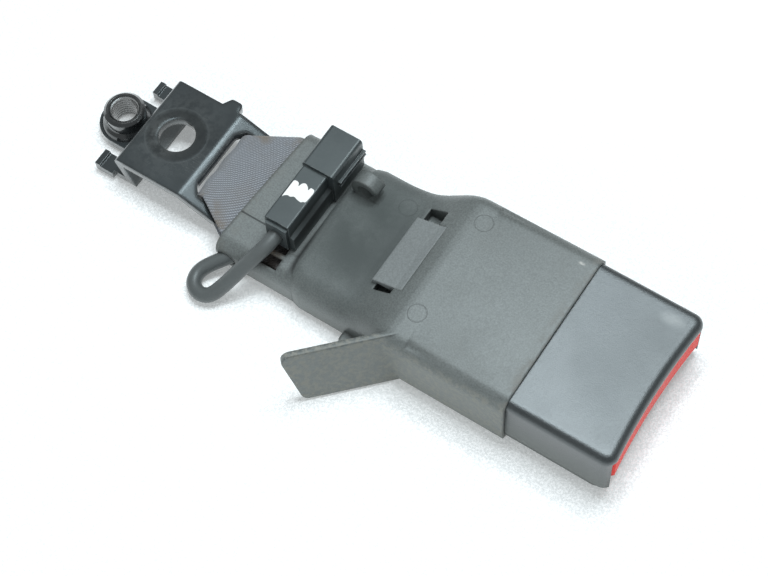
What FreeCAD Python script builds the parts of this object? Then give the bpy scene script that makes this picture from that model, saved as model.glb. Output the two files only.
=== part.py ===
import FreeCAD, Part
import math
import os
import Sketcher
from FreeCAD import Placement, Rotation, Vector

# Seat belt buckle on a short webbing strap with its anchor bracket.
# Millimetres. +X runs from the anchor to the button end, +Z is up.
# The origin is the centre of the anchor bolt hole, halfway through the plate.
# Heights in the code count from the floor; the last step lowers every sub-part to the origin.
# The steel frame, the covers, the soft boot and the webbing form the fixed body.
# The button, lock slider, latch, ejector and anchor bracket move.

doc = FreeCAD.newDocument("seat_belt_buckle")
sheet = doc.addObject("Spreadsheet::Sheet", "Sizes")


class Size:
    """A length that carries its number and the sheet expression it comes from."""

    def __init__(self, value, text):
        self.value = float(value)
        self.text = text

    def __add__(self, other):
        other = as_size(other)
        return Size(self.value + other.value, f"({self.text} + {other.text})")

    def __radd__(self, other):
        return as_size(other) + self

    def __sub__(self, other):
        other = as_size(other)
        return Size(self.value - other.value, f"({self.text} - {other.text})")

    def __rsub__(self, other):
        return as_size(other) - self

    def __mul__(self, other):
        other = as_size(other)
        return Size(self.value * other.value, f"({self.text} * {other.text})")

    def __rmul__(self, other):
        return as_size(other) * self

    def __truediv__(self, other):
        other = as_size(other)
        return Size(self.value / other.value, f"({self.text} / {other.text})")

    def __neg__(self):
        return Size(-self.value, f"(-1 * {self.text})")


def as_size(value):
    """A plain number becomes a size with the same number as its expression."""
    if isinstance(value, Size):
        return value
    return Size(value, f"({float(value)!r})")


def root(size):
    """The square root of a size product."""
    return Size(math.sqrt(size.value), f"sqrt({size.text})")


def driving(alias, value):
    """Write one driving dimension into the sheet and return it as a size."""
    driving.row += 1
    cell = f"A{driving.row}"
    sheet.set(cell, str(value))
    sheet.setAlias(cell, alias)
    return Size(value, f"Sizes.{alias}")


driving.row = 0

# Buckle head
reach = 179.0                 # bolt hole axis to the button end
head_width = 57.0
head_height = 22.0
head_length = 72.0
head_shown = 36.5             # part of the head outside the boot
cover_wall = 1.7
cover_floor = 1.3
cover_split = 2.1             # parting line above the head's underside
end_dish = 1.75               # hollow of the end face in plan
end_corner = 3.8              # upright corners at the button end
top_round = 2.6               # rim of the roof all round
end_lip = 1.1                 # rim below the inner roof at the button end
end_rim = 4.4                 # depth of that rim
slot_width = 29.0
slot_height = 4.7
bezel_depth = 7.6
bezel_back = 2.6              # bezel face behind the button's face

# Release button
button_gap = 0.3
button_travel = 5.0
button_depth = 15.0
button_wall = 1.5
button_corner = 3.5
leg_low = 5.0                 # lower end of the legs at both sides of the button's face
leg_width = 2.1
leg_depth = 3.4
arm_length = 20.0
spring_wire = 0.6
button_spring_size = 4.2
button_spring_length = 18.0

# Steel frame and latch
frame_sheet = 2.2
frame_width = 34.0
frame_side_height = 13.1
tail_width = 51.0
tail_bar = 7.0
tail_slot = 5.5
latch_sheet = 2.0
latch_width = 9.0
latch_pivot_back = 52.0       # pivot behind the end face
latch_nose_back = 19.8
latch_clear = 2.0             # room over the tongue slot for the latch to drop
pin_size = 3.0
pin_gap = 0.05
part_gap = 0.4                # free gap between moving pieces
ejector_back = 18.0            # ejector's front behind the end face
ejector_travel = 12.0
ejector_height = 4.0
ejector_reach = 29.0
ejector_width = 19.0
magnet_size = 3.2
slider_back = 30.0            # lock slider's rear edge behind the end face
slider_run = 5.4
slider_sheet = 2.0

# Boot
boot_wall = 1.3
boot_gap = 0.1
boot_box = 41.0               # straight box behind the mouth
boot_slope = 21.0
far_lag = 9.0                 # the far side narrows this much later than the near one
neck_width = 52.6
neck_height = 16.6
neck_back = 120.0             # neck's rear edge behind the end face
sleeve_width = 51.0
sleeve_height = 13.2
sleeve_back = 146.0
sleeve_slant = 3.4            # degrees that the rear edge turns forward to the far side
flap_length = 39.3
flap_foot = 33.9              # lower edge, shorter than the upper one
flap_height = 23.0
flap_sheet = 2.0
flap_turn = 225.5             # degrees in plan from +X
flap_lean = 11.0              # degrees, lower edge outwards

# Webbing
web_width = 44.0
web_gathered = 26.4
web_sheet = 1.3
loop_gap = 0.3

# Anchor bracket and its weld nut
plate_sheet = 2.8
plate_width = 35.6
plate_top = 13.1
plate_back = 13.4             # bolt hole axis to the folded edge
plate_front = 13.0            # bolt hole axis to the bend
bolt_hole = 12.2
bar_run = 10.5                # bend to the belt bar
bar_drop = 4.2
bar_width = 6.4
belt_slot = 28.0
fold_inset = 4.4
lower_top = 3.7
lower_back = 19.6
nut_back = 22.0
nut_size = 13.8
nut_height = 7.6
thread_size = 10.0
thread_pitch = 1.25

# Wiring connector and cable
plug_width = 9.0
plug_length = 21.7
plug_height = 13.3
shroud_length = 16.0
shroud_width = 11.4
shroud_height = 14.7
shroud_wall = 1.3
connector_back = 132.5
connector_rear = 14.7         # wire side face from the middle plane
cable_size = 5.0
cable_rise = 6.6              # cable axis above the wiring seat

# Loops, windows and flap of the boot
flap_front = 5.5              # flap root ahead of the slope's start
flap_inset = 3.6              # flap root inside the boot's side
flap_low = 1.0
gusset_low = 1.6
gusset_sheet = 3.2
bridge_front = 6.0            # slope's start to the bridge's front
bridge_run = 11.2
bridge_rise = 4.8             # bridge top above the neck
bridge_near = 12.4
bridge_far = 13.4
tunnel_run = 6.4
tunnel_height = 4.6
tunnel_mouth = 5.4            # open pocket at the far end of the tunnel
tunnel_slit = 2.2             # narrow pocket at its near end
tunnel_sink = 3.2             # tunnel floor below the neck's top
hook_back = 113.2             # hook axis behind the button end
hook_rise = 3.0
hook_size = 10.0
hook_bore = 5.4
hook_side = 11.7
hook_width = 5.0
seat_height = 2.0
window_inner = 12.8           # first belt window's near edge from the middle plane
window_width = 4.8
window_rib = 1.6
window_second = 4.0


# Every length above goes into the sheet under its own name.
# From here on a name carries both its number and its sheet expression.
for alias, value in list(globals().items()):
    if isinstance(value, float):
        globals()[alias] = driving(alias, value)

doc.recompute()

PLANES = {"XY": "XY_Plane", "XZ": "XZ_Plane", "YZ": "YZ_Plane"}
NODES = {}


def bind(thing, name, size):
    """Drive a property of an object by the sheet expression of a size."""
    thing.setExpression(name, as_size(size).text)


def node(thing, label):
    """Name the finished sub-part and keep it for the export."""
    thing.Label = label
    NODES[label] = thing
    return thing


def new_body(label):
    """A PartDesign body that will become one exported sub-part."""
    body = doc.addObject("PartDesign::Body", label)
    return node(body, label)


def place_sketch(body, plane, offset):
    """A sketch on one of the body's own origin planes, moved along its normal."""
    sketch = body.newObject("Sketcher::SketchObject", body.Name + "_outline")
    support = [item for item in body.Origin.OriginFeatures if item.Role == PLANES[plane]][0]
    sketch.AttachmentSupport = [(support, "")]
    sketch.MapMode = "FlatFace"
    along = -as_size(offset) if plane == "XZ" else as_size(offset)
    bind(sketch, "AttachmentOffset.Base.z", along)
    return sketch


def draw_polygon(sketch, points):
    """Closed outline whose corners are dimensioned from the origin."""
    first = sketch.GeometryCount
    corners = [(as_size(a), as_size(b)) for a, b in points]
    count = len(corners)
    lines = []
    for index in range(count):
        start = Vector(corners[index][0].value, corners[index][1].value, 0)
        after = corners[(index + 1) % count]
        lines.append(Part.LineSegment(start, Vector(after[0].value, after[1].value, 0)))
    sketch.addGeometry(lines, False)
    joins = [Sketcher.Constraint("Coincident", first + i, 2, first + (i + 1) % count, 1)
             for i in range(count)]
    sketch.addConstraint(joins)
    for index, (across, up) in enumerate(corners):
        for kind, size in (("DistanceX", across), ("DistanceY", up)):
            rule = Sketcher.Constraint(kind, -1, 1, first + index, 1, size.value)
            number = sketch.addConstraint(rule)
            sketch.setExpression(f"Constraints[{number}]", size.text)


def draw_circle(sketch, across, up, radius):
    """Circle with a dimensioned centre and radius."""
    across, up, radius = as_size(across), as_size(up), as_size(radius)
    circle = Part.Circle(Vector(across.value, up.value, 0), Vector(0, 0, 1), radius.value)
    index = sketch.addGeometry(circle, False)
    for kind, size in (("DistanceX", across), ("DistanceY", up)):
        number = sketch.addConstraint(Sketcher.Constraint(kind, -1, 1, index, 3, size.value))
        sketch.setExpression(f"Constraints[{number}]", size.text)
    number = sketch.addConstraint(Sketcher.Constraint("Radius", index, radius.value))
    sketch.setExpression(f"Constraints[{number}]", radius.text)


def feature(body, kind, plane, low, high, draw):
    """Pad or pocket between two levels along the normal of an origin plane."""
    low, high = as_size(low), as_size(high)
    sketch = place_sketch(body, plane, (low + high) / 2)
    draw(sketch)
    made = body.newObject(f"PartDesign::{kind}", f"{body.Name}_{kind}")
    made.Profile = (sketch, [""])
    made.SideType = "Symmetric"
    bind(made, "Length", high - low)
    doc.recompute()
    return made


def pad(body, plane, low, high, *outlines):
    """Add material: each outline is a list of corners or a circle triple."""
    return feature(body, "Pad", plane, low, high, lambda sketch: draw_all(sketch, outlines))


def pocket(body, plane, low, high, *outlines):
    """Remove material between two levels."""
    return feature(body, "Pocket", plane, low, high, lambda sketch: draw_all(sketch, outlines))


def draw_all(sketch, outlines):
    """Draw every outline: a tuple is a circle, a list is a polygon."""
    for outline in outlines:
        if isinstance(outline, tuple):
            draw_circle(sketch, *outline)
        else:
            draw_polygon(sketch, outline)


def rectangle(low_a, high_a, low_b, high_b):
    """Corners of an upright rectangle."""
    return [(low_a, low_b), (high_a, low_b), (high_a, high_b), (low_a, high_b)]


def edges_where(shape, test):
    """Names of the edges whose middle point and direction pass a test."""
    found = []
    for number, edge in enumerate(shape.Edges, start=1):
        if edge.Length < 1e-6:
            continue
        middle = edge.valueAt((edge.FirstParameter + edge.LastParameter) / 2)
        way = edge.tangentAt((edge.FirstParameter + edge.LastParameter) / 2)
        if test(middle, way, edge):
            found.append(f"Edge{number}")
    return found


def round_edges(body, radius, test, kind="Fillet"):
    """Fillet or chamfer the edges of the body's tip that pass a test."""
    tip = body.Tip
    names = edges_where(tip.Shape, test)
    made = body.newObject(f"PartDesign::{kind}", f"{body.Name}_{kind}")
    made.Base = (tip, names)
    bind(made, "Radius" if kind == "Fillet" else "Size", radius)
    doc.recompute()
    return made


def near(value, size, slack=0.05):
    """Whether a coordinate lies at a size."""
    return abs(value - as_size(size).value) < slack


def part_box(name, low_x, high_x, low_y, high_y, low_z, high_z):
    """A Part box between six levels."""
    block = doc.addObject("Part::Box", name)
    for prop, low, high, axis in (("Length", low_x, high_x, "x"), ("Width", low_y, high_y, "y"),
                                  ("Height", low_z, high_z, "z")):
        low, high = as_size(low), as_size(high)
        bind(block, prop, high - low)
        bind(block, f"Placement.Base.{axis}", low)
    return block


def part_cylinder(name, radius, length, place, way=Vector(0, 0, 1)):
    """A Part cylinder from a start point along a direction."""
    made = doc.addObject("Part::Cylinder", name)
    bind(made, "Radius", radius)
    bind(made, "Height", length)
    made.Placement = Placement(Vector(0, 0, 0), Rotation(Vector(0, 0, 1), way))
    for axis, size in zip("xyz", place):
        bind(made, f"Placement.Base.{axis}", size)
    return made


def coil(name, mean_size, wire, length, turns, place, way):
    """A round wire swept along a helix."""
    helix = doc.addObject("Part::Helix", name + "_helix")
    bind(helix, "Radius", mean_size / 2)
    bind(helix, "Height", length)
    bind(helix, "Pitch", length / turns)
    section = doc.addObject("Part::Circle", name + "_section")
    bind(section, "Radius", wire / 2)
    section.Placement = Placement(Vector(0, 0, 0), Rotation(Vector(1, 0, 0), 90))
    bind(section, "Placement.Base.x", mean_size / 2)
    sweep = doc.addObject("Part::Sweep", name)
    sweep.Sections = [section]
    sweep.Spine = (helix, [])
    sweep.Solid = True
    sweep.Frenet = True
    sweep.Placement = Placement(Vector(0, 0, 0), Rotation(Vector(0, 0, 1), way))
    for axis, size in zip("xyz", place):
        bind(sweep, f"Placement.Base.{axis}", size)
    return sweep


def grouped(label, members):
    """One sub-part made of several solids."""
    group = doc.addObject("Part::Compound", label)
    group.Links = members
    doc.recompute()
    return node(group, label)


# Levels and stations that several pieces share
head_low = boot_wall + boot_gap
head_top = head_low + head_height
split_level = head_low + cover_split
floor_top = head_low + cover_floor
head_rear = reach - head_length
half_head = head_width / 2
half_inside = half_head - cover_wall
roof_low = head_top - cover_wall
slot_low = floor_top + frame_sheet
slot_top = slot_low + slot_height
button_low = slot_top + button_gap
lip_low = roof_low - end_lip
button_top = lip_low - button_gap
button_half = half_inside - button_gap
side_top = floor_top + frame_side_height
tail_door = tail_width / 2 + button_gap
pivot_x = reach - latch_pivot_back
tail_end = pivot_x - 32
latch_low = slot_top + part_gap * 2 + latch_clear
pivot_z = latch_low + latch_sheet / 2
ejector_front = reach - ejector_back
ejector_rear = ejector_front - ejector_reach
ejector_low = slot_low + 0.2
ejector_high = ejector_low + ejector_height
coil_room = ejector_travel + 5
slider_rear = reach - slider_back
slider_low = latch_low + latch_sheet + part_gap
dish_radius = (half_head * half_head + end_dish * end_dish) / (end_dish * 2)


# Route of the cable: out of the connector, down to the surface, round and into the boot
cable_x = (reach - connector_back + plug_width / 2).value
cable_z = (sleeve_height + cable_rise).value
CABLE_ROUTE = [
    Vector(cable_x, -10.0, cable_z), Vector(cable_x, -19.2, cable_z), Vector(48.4, -24.2, 16.6),
    Vector(45.2, -29.2, 11.6), Vector(42.0, -34.4, 6.4), Vector(39.2, -38.6, 3.4),
    Vector(35.2, -39.5, 2.8), Vector(31.7, -37.3, 2.7), Vector(30.8, -33.3, 3.0),
    Vector(33.0, -29.2, 4.2), Vector(38.0, -23.7, 6.0)]
cable_exit = CABLE_ROUTE[-1]
cable_inward = CABLE_ROUTE[-1] - CABLE_ROUTE[-2]


def dish_cutter(name, back):
    """Upright cylinder that hollows the end face in plan."""
    place = (reach + dish_radius - end_dish - back, 0, head_low - 1)
    return part_cylinder(name, dish_radius, head_height + 2, place)


def dished(label, body, back):
    """The end of a body cut by the shared hollow."""
    cutter = dish_cutter(label + "_dish", back)
    made = doc.addObject("Part::Cut", label + "_dished")
    made.Base = body
    made.Tool = cutter
    doc.recompute()
    return node(made, label)


def make_upper_cover():
    """Deep moulded shell of the head, open below and at the button end."""
    body = doc.addObject("PartDesign::Body", "upper_shell")
    pad(body, "XY", split_level, head_top, rectangle(head_rear, reach, -half_head, half_head))
    pocket(body, "XY", split_level - 1, head_top + 1,
           (reach + dish_radius - end_dish, 0, dish_radius))
    round_edges(body, end_corner,
                lambda m, w, e: abs(w.z) > 0.9 and near(m.x, reach) and e.Length > 10)
    round_edges(body, cover_wall * 1.2,
                lambda m, w, e: abs(w.z) > 0.9 and near(m.x, head_rear) and e.Length > 10)
    round_edges(body, top_round, lambda m, w, e: near(m.z, head_top))
    pocket(body, "XY", split_level - 1, roof_low,
           rectangle(head_rear + cover_wall, reach - end_rim, -half_inside, half_inside))
    pocket(body, "XY", split_level - 1, lip_low,
           rectangle(reach - end_rim - 1, reach + 1, -half_inside, half_inside))
    seat = reach - button_depth - arm_length
    spring_end = seat - button_spring_length
    for side in (-1, 1):
        low, high = sorted((half_inside * side, (half_inside - 8) * side), key=lambda s: s.value)
        pad(body, "XY", button_low, roof_low + 0.5,
            rectangle(spring_end - 2, spring_end, low, high))
    pocket(body, "XY", split_level - 1, floor_top + frame_sheet + button_gap,
           rectangle(head_rear - 1, head_rear + cover_wall + 1, -tail_door, tail_door))
    return node(body, "buckle_upper_cover")


def make_lower_cover():
    """Shallow tray with the end bezel that frames the tongue slot behind the button's face."""
    body = doc.addObject("PartDesign::Body", "lower_tray")
    tray_end = reach - bezel_back
    pad(body, "XY", head_low, split_level, rectangle(head_rear, tray_end, -half_head, half_head))
    round_edges(body, end_corner, lambda m, w, e: abs(w.z) > 0.9 and near(m.x, tray_end))
    round_edges(body, 1.2, lambda m, w, e: near(m.z, head_low))
    pocket(body, "XY", floor_top, split_level + 1,
           rectangle(head_rear + cover_wall, reach - bezel_depth, -half_inside, half_inside))
    pocket(body, "XY", floor_top, split_level + 1,
           rectangle(head_rear - 1, head_rear + cover_wall + 1, -tail_door, tail_door))
    rim = button_half - leg_width - button_gap
    pad(body, "XY", split_level - 0.5, slot_top,
        rectangle(reach - bezel_depth, tray_end, -rim, rim))
    half_slot = slot_width / 2
    pocket(body, "YZ", reach - bezel_depth - 1, reach + 1,
           rectangle(-half_slot, half_slot, slot_low, slot_top + 1))
    round_edges(body, 0.4, lambda m, w, e: near(m.x, tray_end) and near(m.z, slot_low),
                "Chamfer")
    snap_inner = half_inside - button_gap - 1.0
    for back in (0.36, 0.86):
        station = reach - head_length * back
        for side in (-1, 1):
            low, high = sorted((snap_inner * side, (half_inside - 0.15) * side),
                               key=lambda s: s.value)
            pad(body, "XY", floor_top - 0.2, split_level + 4,
                rectangle(station - 4, station + 4, low, high))
    return dished("buckle_lower_cover", body, bezel_back)


def make_button():
    """Hollow red button with two side arms that push the lock slider."""
    body = doc.addObject("PartDesign::Body", "button_block")
    rear = reach - button_depth
    pad(body, "XY", button_low, button_top, rectangle(rear, reach, -button_half, button_half))
    for side in (-1, 1):
        low, high = sorted(((button_half - leg_width) * side, button_half * side),
                           key=lambda s: s.value)
        pad(body, "XY", leg_low, button_low + 1, rectangle(reach - leg_depth, reach, low, high))
    round_edges(body, button_corner,
                lambda m, w, e: abs(w.z) > 0.9 and near(m.x, reach) and e.Length > 10)
    round_edges(body, 1.8, lambda m, w, e: abs(w.x) > 0.9 and near(m.z, button_top))
    pocket(body, "XY", button_low - 1, button_top - button_wall,
           rectangle(rear - 1, reach - end_dish - 2.4, -(button_half - button_wall),
                     button_half - button_wall))
    arm_end = rear - arm_length
    arm_outer = button_half - 0.8
    arm_inner = frame_width / 2 + 2.2
    for side in (-1, 1):
        low, high = sorted((arm_inner * side, arm_outer * side), key=lambda s: s.value)
        pad(body, "XY", button_low, button_low + 7.0, rectangle(arm_end, rear + 4, low, high))
        low, high = sorted(((frame_width / 2 + 0.4) * side, (arm_inner + 0.5) * side),
                           key=lambda s: s.value)
        rib = slider_rear + slider_run + 0.2
        pad(body, "XY", slider_low, button_low + 7.0,
            rectangle(rib, rib + 2, low, high))
    return dished("release_button", body, 0.3)


def make_button_springs():
    """Two compression springs that push the button out."""
    seat = reach - button_depth - arm_length
    springs = []
    for side in (-1, 1):
        place = (seat - button_spring_length + 0.3 + spring_wire / 2,
                 (half_inside - 4.2) * side, button_low + 3.5)
        springs.append(coil(f"button_spring_{side + 2}", button_spring_size, spring_wire,
                            button_spring_length - 0.6 - spring_wire, 7, place, Vector(1, 0, 0)))
    return grouped("button_springs", springs)


def make_frame():
    """Steel channel that carries the latch, with the belt bar at its tail."""
    body = new_body("buckle_frame")
    half = frame_width / 2
    half_tail = tail_width / 2
    front = reach - bezel_depth - 1
    bar_front = tail_end + tail_bar
    tail_front = bar_front + tail_slot + 3
    outline = [(front, -half), (front, half), (tail_front + 6, half), (tail_front, half_tail),
               (tail_end, half_tail), (tail_end, -half_tail), (tail_front, -half_tail),
               (tail_front + 6, -half)]
    pad(body, "XY", floor_top, floor_top + frame_sheet, outline)
    wall_front = reach - button_depth
    wall_rear = pivot_x - 8
    for side in (-1, 1):
        low, high = sorted(((half - frame_sheet) * side, half * side), key=lambda s: s.value)
        notch_z = slider_low - 0.15
        notch_front = slider_rear + slider_run + 1.1
        notch_rear = slider_rear - button_travel - 0.5
        side_outline = [(wall_rear, floor_top + 1), (wall_front, floor_top + 1),
                        (wall_front + 4, slot_top), (wall_front + 4, side_top - 3),
                        (wall_front, side_top),
                        (notch_front, side_top), (notch_front, notch_z),
                        (notch_rear, notch_z), (notch_rear, side_top),
                        (wall_rear + 3, side_top), (wall_rear, side_top - 4)]
        pad(body, "XZ", low, high, side_outline)
    pocket(body, "XZ", -half - 1, half + 1, (pivot_x, pivot_z, pin_size / 2 + pin_gap))
    base_low = floor_top - 1
    base_high = floor_top + frame_sheet + 0.5
    nose = reach - latch_nose_back
    half_nose = latch_width / 2 + 1
    pocket(body, "XY", base_low, base_high,
           rectangle(nose - 5.8, nose + 1.6, -half_nose, half_nose))
    pocket(body, "XY", base_low, base_high,
           rectangle(ejector_rear - ejector_travel - 1, ejector_rear + 5, -4.2, 4.2))
    half_belt = web_width / 2 + 1
    pocket(body, "XY", base_low, base_high,
           rectangle(bar_front, bar_front + tail_slot, -half_belt, half_belt))
    return body


def make_latch_pin():
    """Headed pin across the frame sides."""
    half = frame_width / 2
    body = new_body("latch_pin")
    pad(body, "XZ", -half - 0.6, half + 0.6, (pivot_x, pivot_z, pin_size / 2))
    pad(body, "XZ", half + 0.1, half + 1.0, (pivot_x, pivot_z, pin_size / 2 + 0.9))
    pad(body, "XZ", -half - 1.0, -half - 0.1, (pivot_x, pivot_z, pin_size / 2 + 0.9))
    return body


def make_latch():
    """Pivoting plate whose nose drops through the tongue and the frame."""
    body = new_body("latch_plate")
    half = latch_width / 2
    knuckle = pin_size / 2 + 1.5
    nose = reach - latch_nose_back
    high = latch_low + latch_sheet
    profile = [(pivot_x, latch_low), (nose - 3.2, latch_low), (nose - 3.2, slot_top + 0.3),
               (nose - 0.8, slot_top + 0.3), (nose, slot_top + 1.3), (nose, high), (pivot_x, high)]
    pad(body, "XZ", -half, half, profile)
    pad(body, "XZ", -half, half, (pivot_x, pivot_z, knuckle))
    pocket(body, "XZ", -half - 1, half + 1, (pivot_x, pivot_z, pin_size / 2 + pin_gap))
    round_edges(body, 1.2, lambda m, w, e: abs(w.z) > 0.9 and near(m.x, nose))
    return body


def make_latch_spring():
    """Torsion spring on the pin beside the latch, one leg down and one leg up."""
    radius = (pin_size + 1.8).value / 2
    start = -(frame_width / 2 - frame_sheet - 1.3).value
    width = 5.2
    turns = 5
    drop = (pivot_z - slot_low).value - 0.3
    helix = Part.makeHelix(width / turns, width, radius, 0, True)
    way = Vector(0, -2 * math.pi * radius, width / turns).normalize()
    first = Vector(radius, 0, 0)
    last = Vector(radius, 0, width)
    path = [Part.makeLine(first - way * drop, first)] + helix.Edges
    path.append(Part.makeLine(last, last + way * 3.0))
    section = Part.Wire(Part.makeCircle(spring_wire.value / 2, first - way * drop, way))
    made = doc.addObject("Part::Feature", "latch_spring_wire")
    made.Shape = Part.Wire(path).makePipeShell([section], True, True)
    made.Placement = Placement(Vector(pivot_x.value, start, pivot_z.value),
                               Rotation(Vector(1, 0, 0), -90))
    return grouped("latch_spring", [made])


def make_lock_slider():
    """Steel bar that slides over the latch with the button."""
    body = new_body("lock_slider")
    half = frame_width / 2 + 1.6
    high = slider_low + slider_sheet
    rib_top = high + 1.4
    pad(body, "XY", slider_low, high,
        rectangle(slider_rear, slider_rear + slider_run, -half, half))
    pad(body, "XY", high - 0.4, rib_top,
        rectangle(slider_rear, slider_rear + 3, -(half - 6), half - 6))
    round_edges(body, 0.5, lambda m, w, e: abs(w.y) > 0.9 and near(m.z, rib_top))
    return body


def make_ejector():
    """Forked slider that pushes the tongue out."""
    body = new_body("ejector")
    front = ejector_front
    rear = ejector_rear
    half = ejector_width / 2
    inner = latch_width / 2 + 0.9
    outline = [(rear, -half), (front, -half), (front, -inner), (rear + 5, -inner),
               (rear + 5, inner), (front, inner), (front, half), (rear, half)]
    pad(body, "XY", ejector_low, ejector_high, outline)
    pad(body, "XY", floor_top + 0.3, ejector_low + 0.5, rectangle(rear, rear + 4, -3.9, 3.9))
    magnet_x = rear + 9
    magnet_y = half - 2.4
    pocket(body, "XY", ejector_high - 3, ejector_high + 1,
           (magnet_x, magnet_y, magnet_size / 2 + 0.02))
    round_edges(body, 0.8, lambda m, w, e: abs(w.z) > 0.9 and near(m.x, front))
    return body


def make_magnet():
    """Disc magnet pressed in the ejector."""
    body = new_body("ejector_magnet")
    pad(body, "XY", ejector_high - 3, ejector_high - 0.1,
        (ejector_rear + 9, ejector_width / 2 - 2.4, magnet_size / 2))
    return body


def make_ejector_spring():
    """Compression spring behind the ejector."""
    level = ejector_low + ejector_height / 2
    made = coil("ejector_coil", as_size(3.2), spring_wire, coil_room - spring_wire - 0.6, 6,
                (ejector_rear - coil_room + 0.3 + spring_wire / 2, 0, level), Vector(1, 0, 0))
    return grouped("ejector_spring", [made])


def make_spring_stop():
    """Moulded block on the frame that holds the rear of the ejector spring."""
    face = ejector_rear - coil_room
    body = new_body("spring_stop")
    low = floor_top + frame_sheet
    pad(body, "XY", low, low + 6, rectangle(face - 3, face, -7, 7))
    pad(body, "YZ", face - 0.5, face + 3, (0, ejector_low + ejector_height / 2, 1.0))
    return body


def make_switch():
    """Belt switch beside the latch, over the magnet."""
    inner_wall = frame_width / 2 - frame_sheet
    body = new_body("buckle_switch")
    pad(body, "XY", ejector_high + 0.8, latch_low + latch_sheet,
        rectangle(ejector_rear + 4, ejector_rear + 15, inner_wall - 7.5, inner_wall - 0.02))
    round_edges(body, 0.5, lambda m, w, e: abs(w.z) > 0.9)
    return body


def build_internals():
    """Everything inside the head."""
    make_frame()
    make_latch_pin()
    make_latch()
    make_latch_spring()
    make_lock_slider()
    make_ejector()
    make_magnet()
    make_ejector_spring()
    make_spring_stop()
    make_switch()


def section_wire(station, near_half, far_half, low, top, low_round, top_round, crown):
    """Upright closed section: flat floor, round corners and a slightly arched top."""
    corner = math.sqrt(0.5)
    side = top - crown
    half = (near_half + far_half) / 2
    shift = (far_half - near_half) / 2
    points = {
        "floor_l": (-(half - low_round), low), "floor_r": (half - low_round, low),
        "low_r": (half - low_round * (1 - corner), low + low_round * (1 - corner)),
        "side_r": (half, low + low_round), "wall_r": (half, side - top_round),
        "top_r": (half - top_round * (1 - corner), side - top_round * (1 - corner)),
        "roof_r": (half - top_round, side), "peak": (0, top),
    }
    place = {key: Vector(station, across + shift, up) for key, (across, up) in points.items()}
    for key in ("low_r", "side_r", "wall_r", "top_r", "roof_r"):
        right = place[key]
        place[key.replace("_r", "_l")] = Vector(station, 2 * shift - right.y, right.z)
    edges = [
        Part.makeLine(place["floor_l"], place["floor_r"]),
        Part.Arc(place["floor_r"], place["low_r"], place["side_r"]).toShape(),
        Part.makeLine(place["side_r"], place["wall_r"]),
        Part.Arc(place["wall_r"], place["top_r"], place["roof_r"]).toShape(),
        Part.Arc(place["roof_r"], place["peak"], place["roof_l"]).toShape(),
        Part.Arc(place["roof_l"], place["top_l"], place["wall_l"]).toShape(),
        Part.makeLine(place["wall_l"], place["side_l"]),
        Part.Arc(place["side_l"], place["low_l"], place["floor_l"]).toShape(),
    ]
    return Part.Wire(edges)


def loft(name, sections):
    """Solid with straight spans between neighbouring upright sections."""
    made = doc.addObject("Part::Feature", name)
    made.Shape = Part.makeLoft([section_wire(*section) for section in sections], True, True)
    return made


def even(station, half, *rest):
    """A section that reaches equally far to both sides."""
    return (station, half, half) + rest


def eased(share):
    """Half a cosine wave from 0 to 1, flat beyond both ends."""
    return (1 - math.cos(math.pi * min(max(share, 0.0), 1.0))) / 2


def boot_sections(slices=15):
    """Stations of the boot from its mouth over the slope to the rounded end of the neck."""
    mouth = (reach - head_shown).value
    box_end = mouth - boot_box.value
    half = (half_head + boot_gap + boot_wall).value
    top = (head_top + boot_gap + boot_wall).value
    shoulder = top - 0.5
    narrow = neck_width.value / 2
    low_neck = neck_height.value
    slope = boot_slope.value
    far_run = slope + far_lag.value
    sections = [even(mouth, half, 0.0, top, 2.2, 4.8, 0.3)]
    for index in range(slices + 1):
        run = far_run * index / slices
        drop = eased(run / slope)
        sections.append((box_end - run, half + (narrow - half) * drop,
                         half + (narrow - half) * eased(run / far_run), 0.0,
                         shoulder + (low_neck - shoulder) * drop, 2.2, 4.8 + 3.2 * drop, 0.6))
    end = (reach - neck_back).value
    for ahead, inset, sink in ((6.0, 0.0, 0.0), (3.4, 0.7, 0.1), (1.5, 2.0, 0.4),
                               (0.4, 3.6, 1.0), (0.0, 4.8, 1.7)):
        sections.append(even(end + ahead, narrow - inset, 0.0, low_neck - sink, 2.2, 8.0, 0.6))
    return sections


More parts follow.
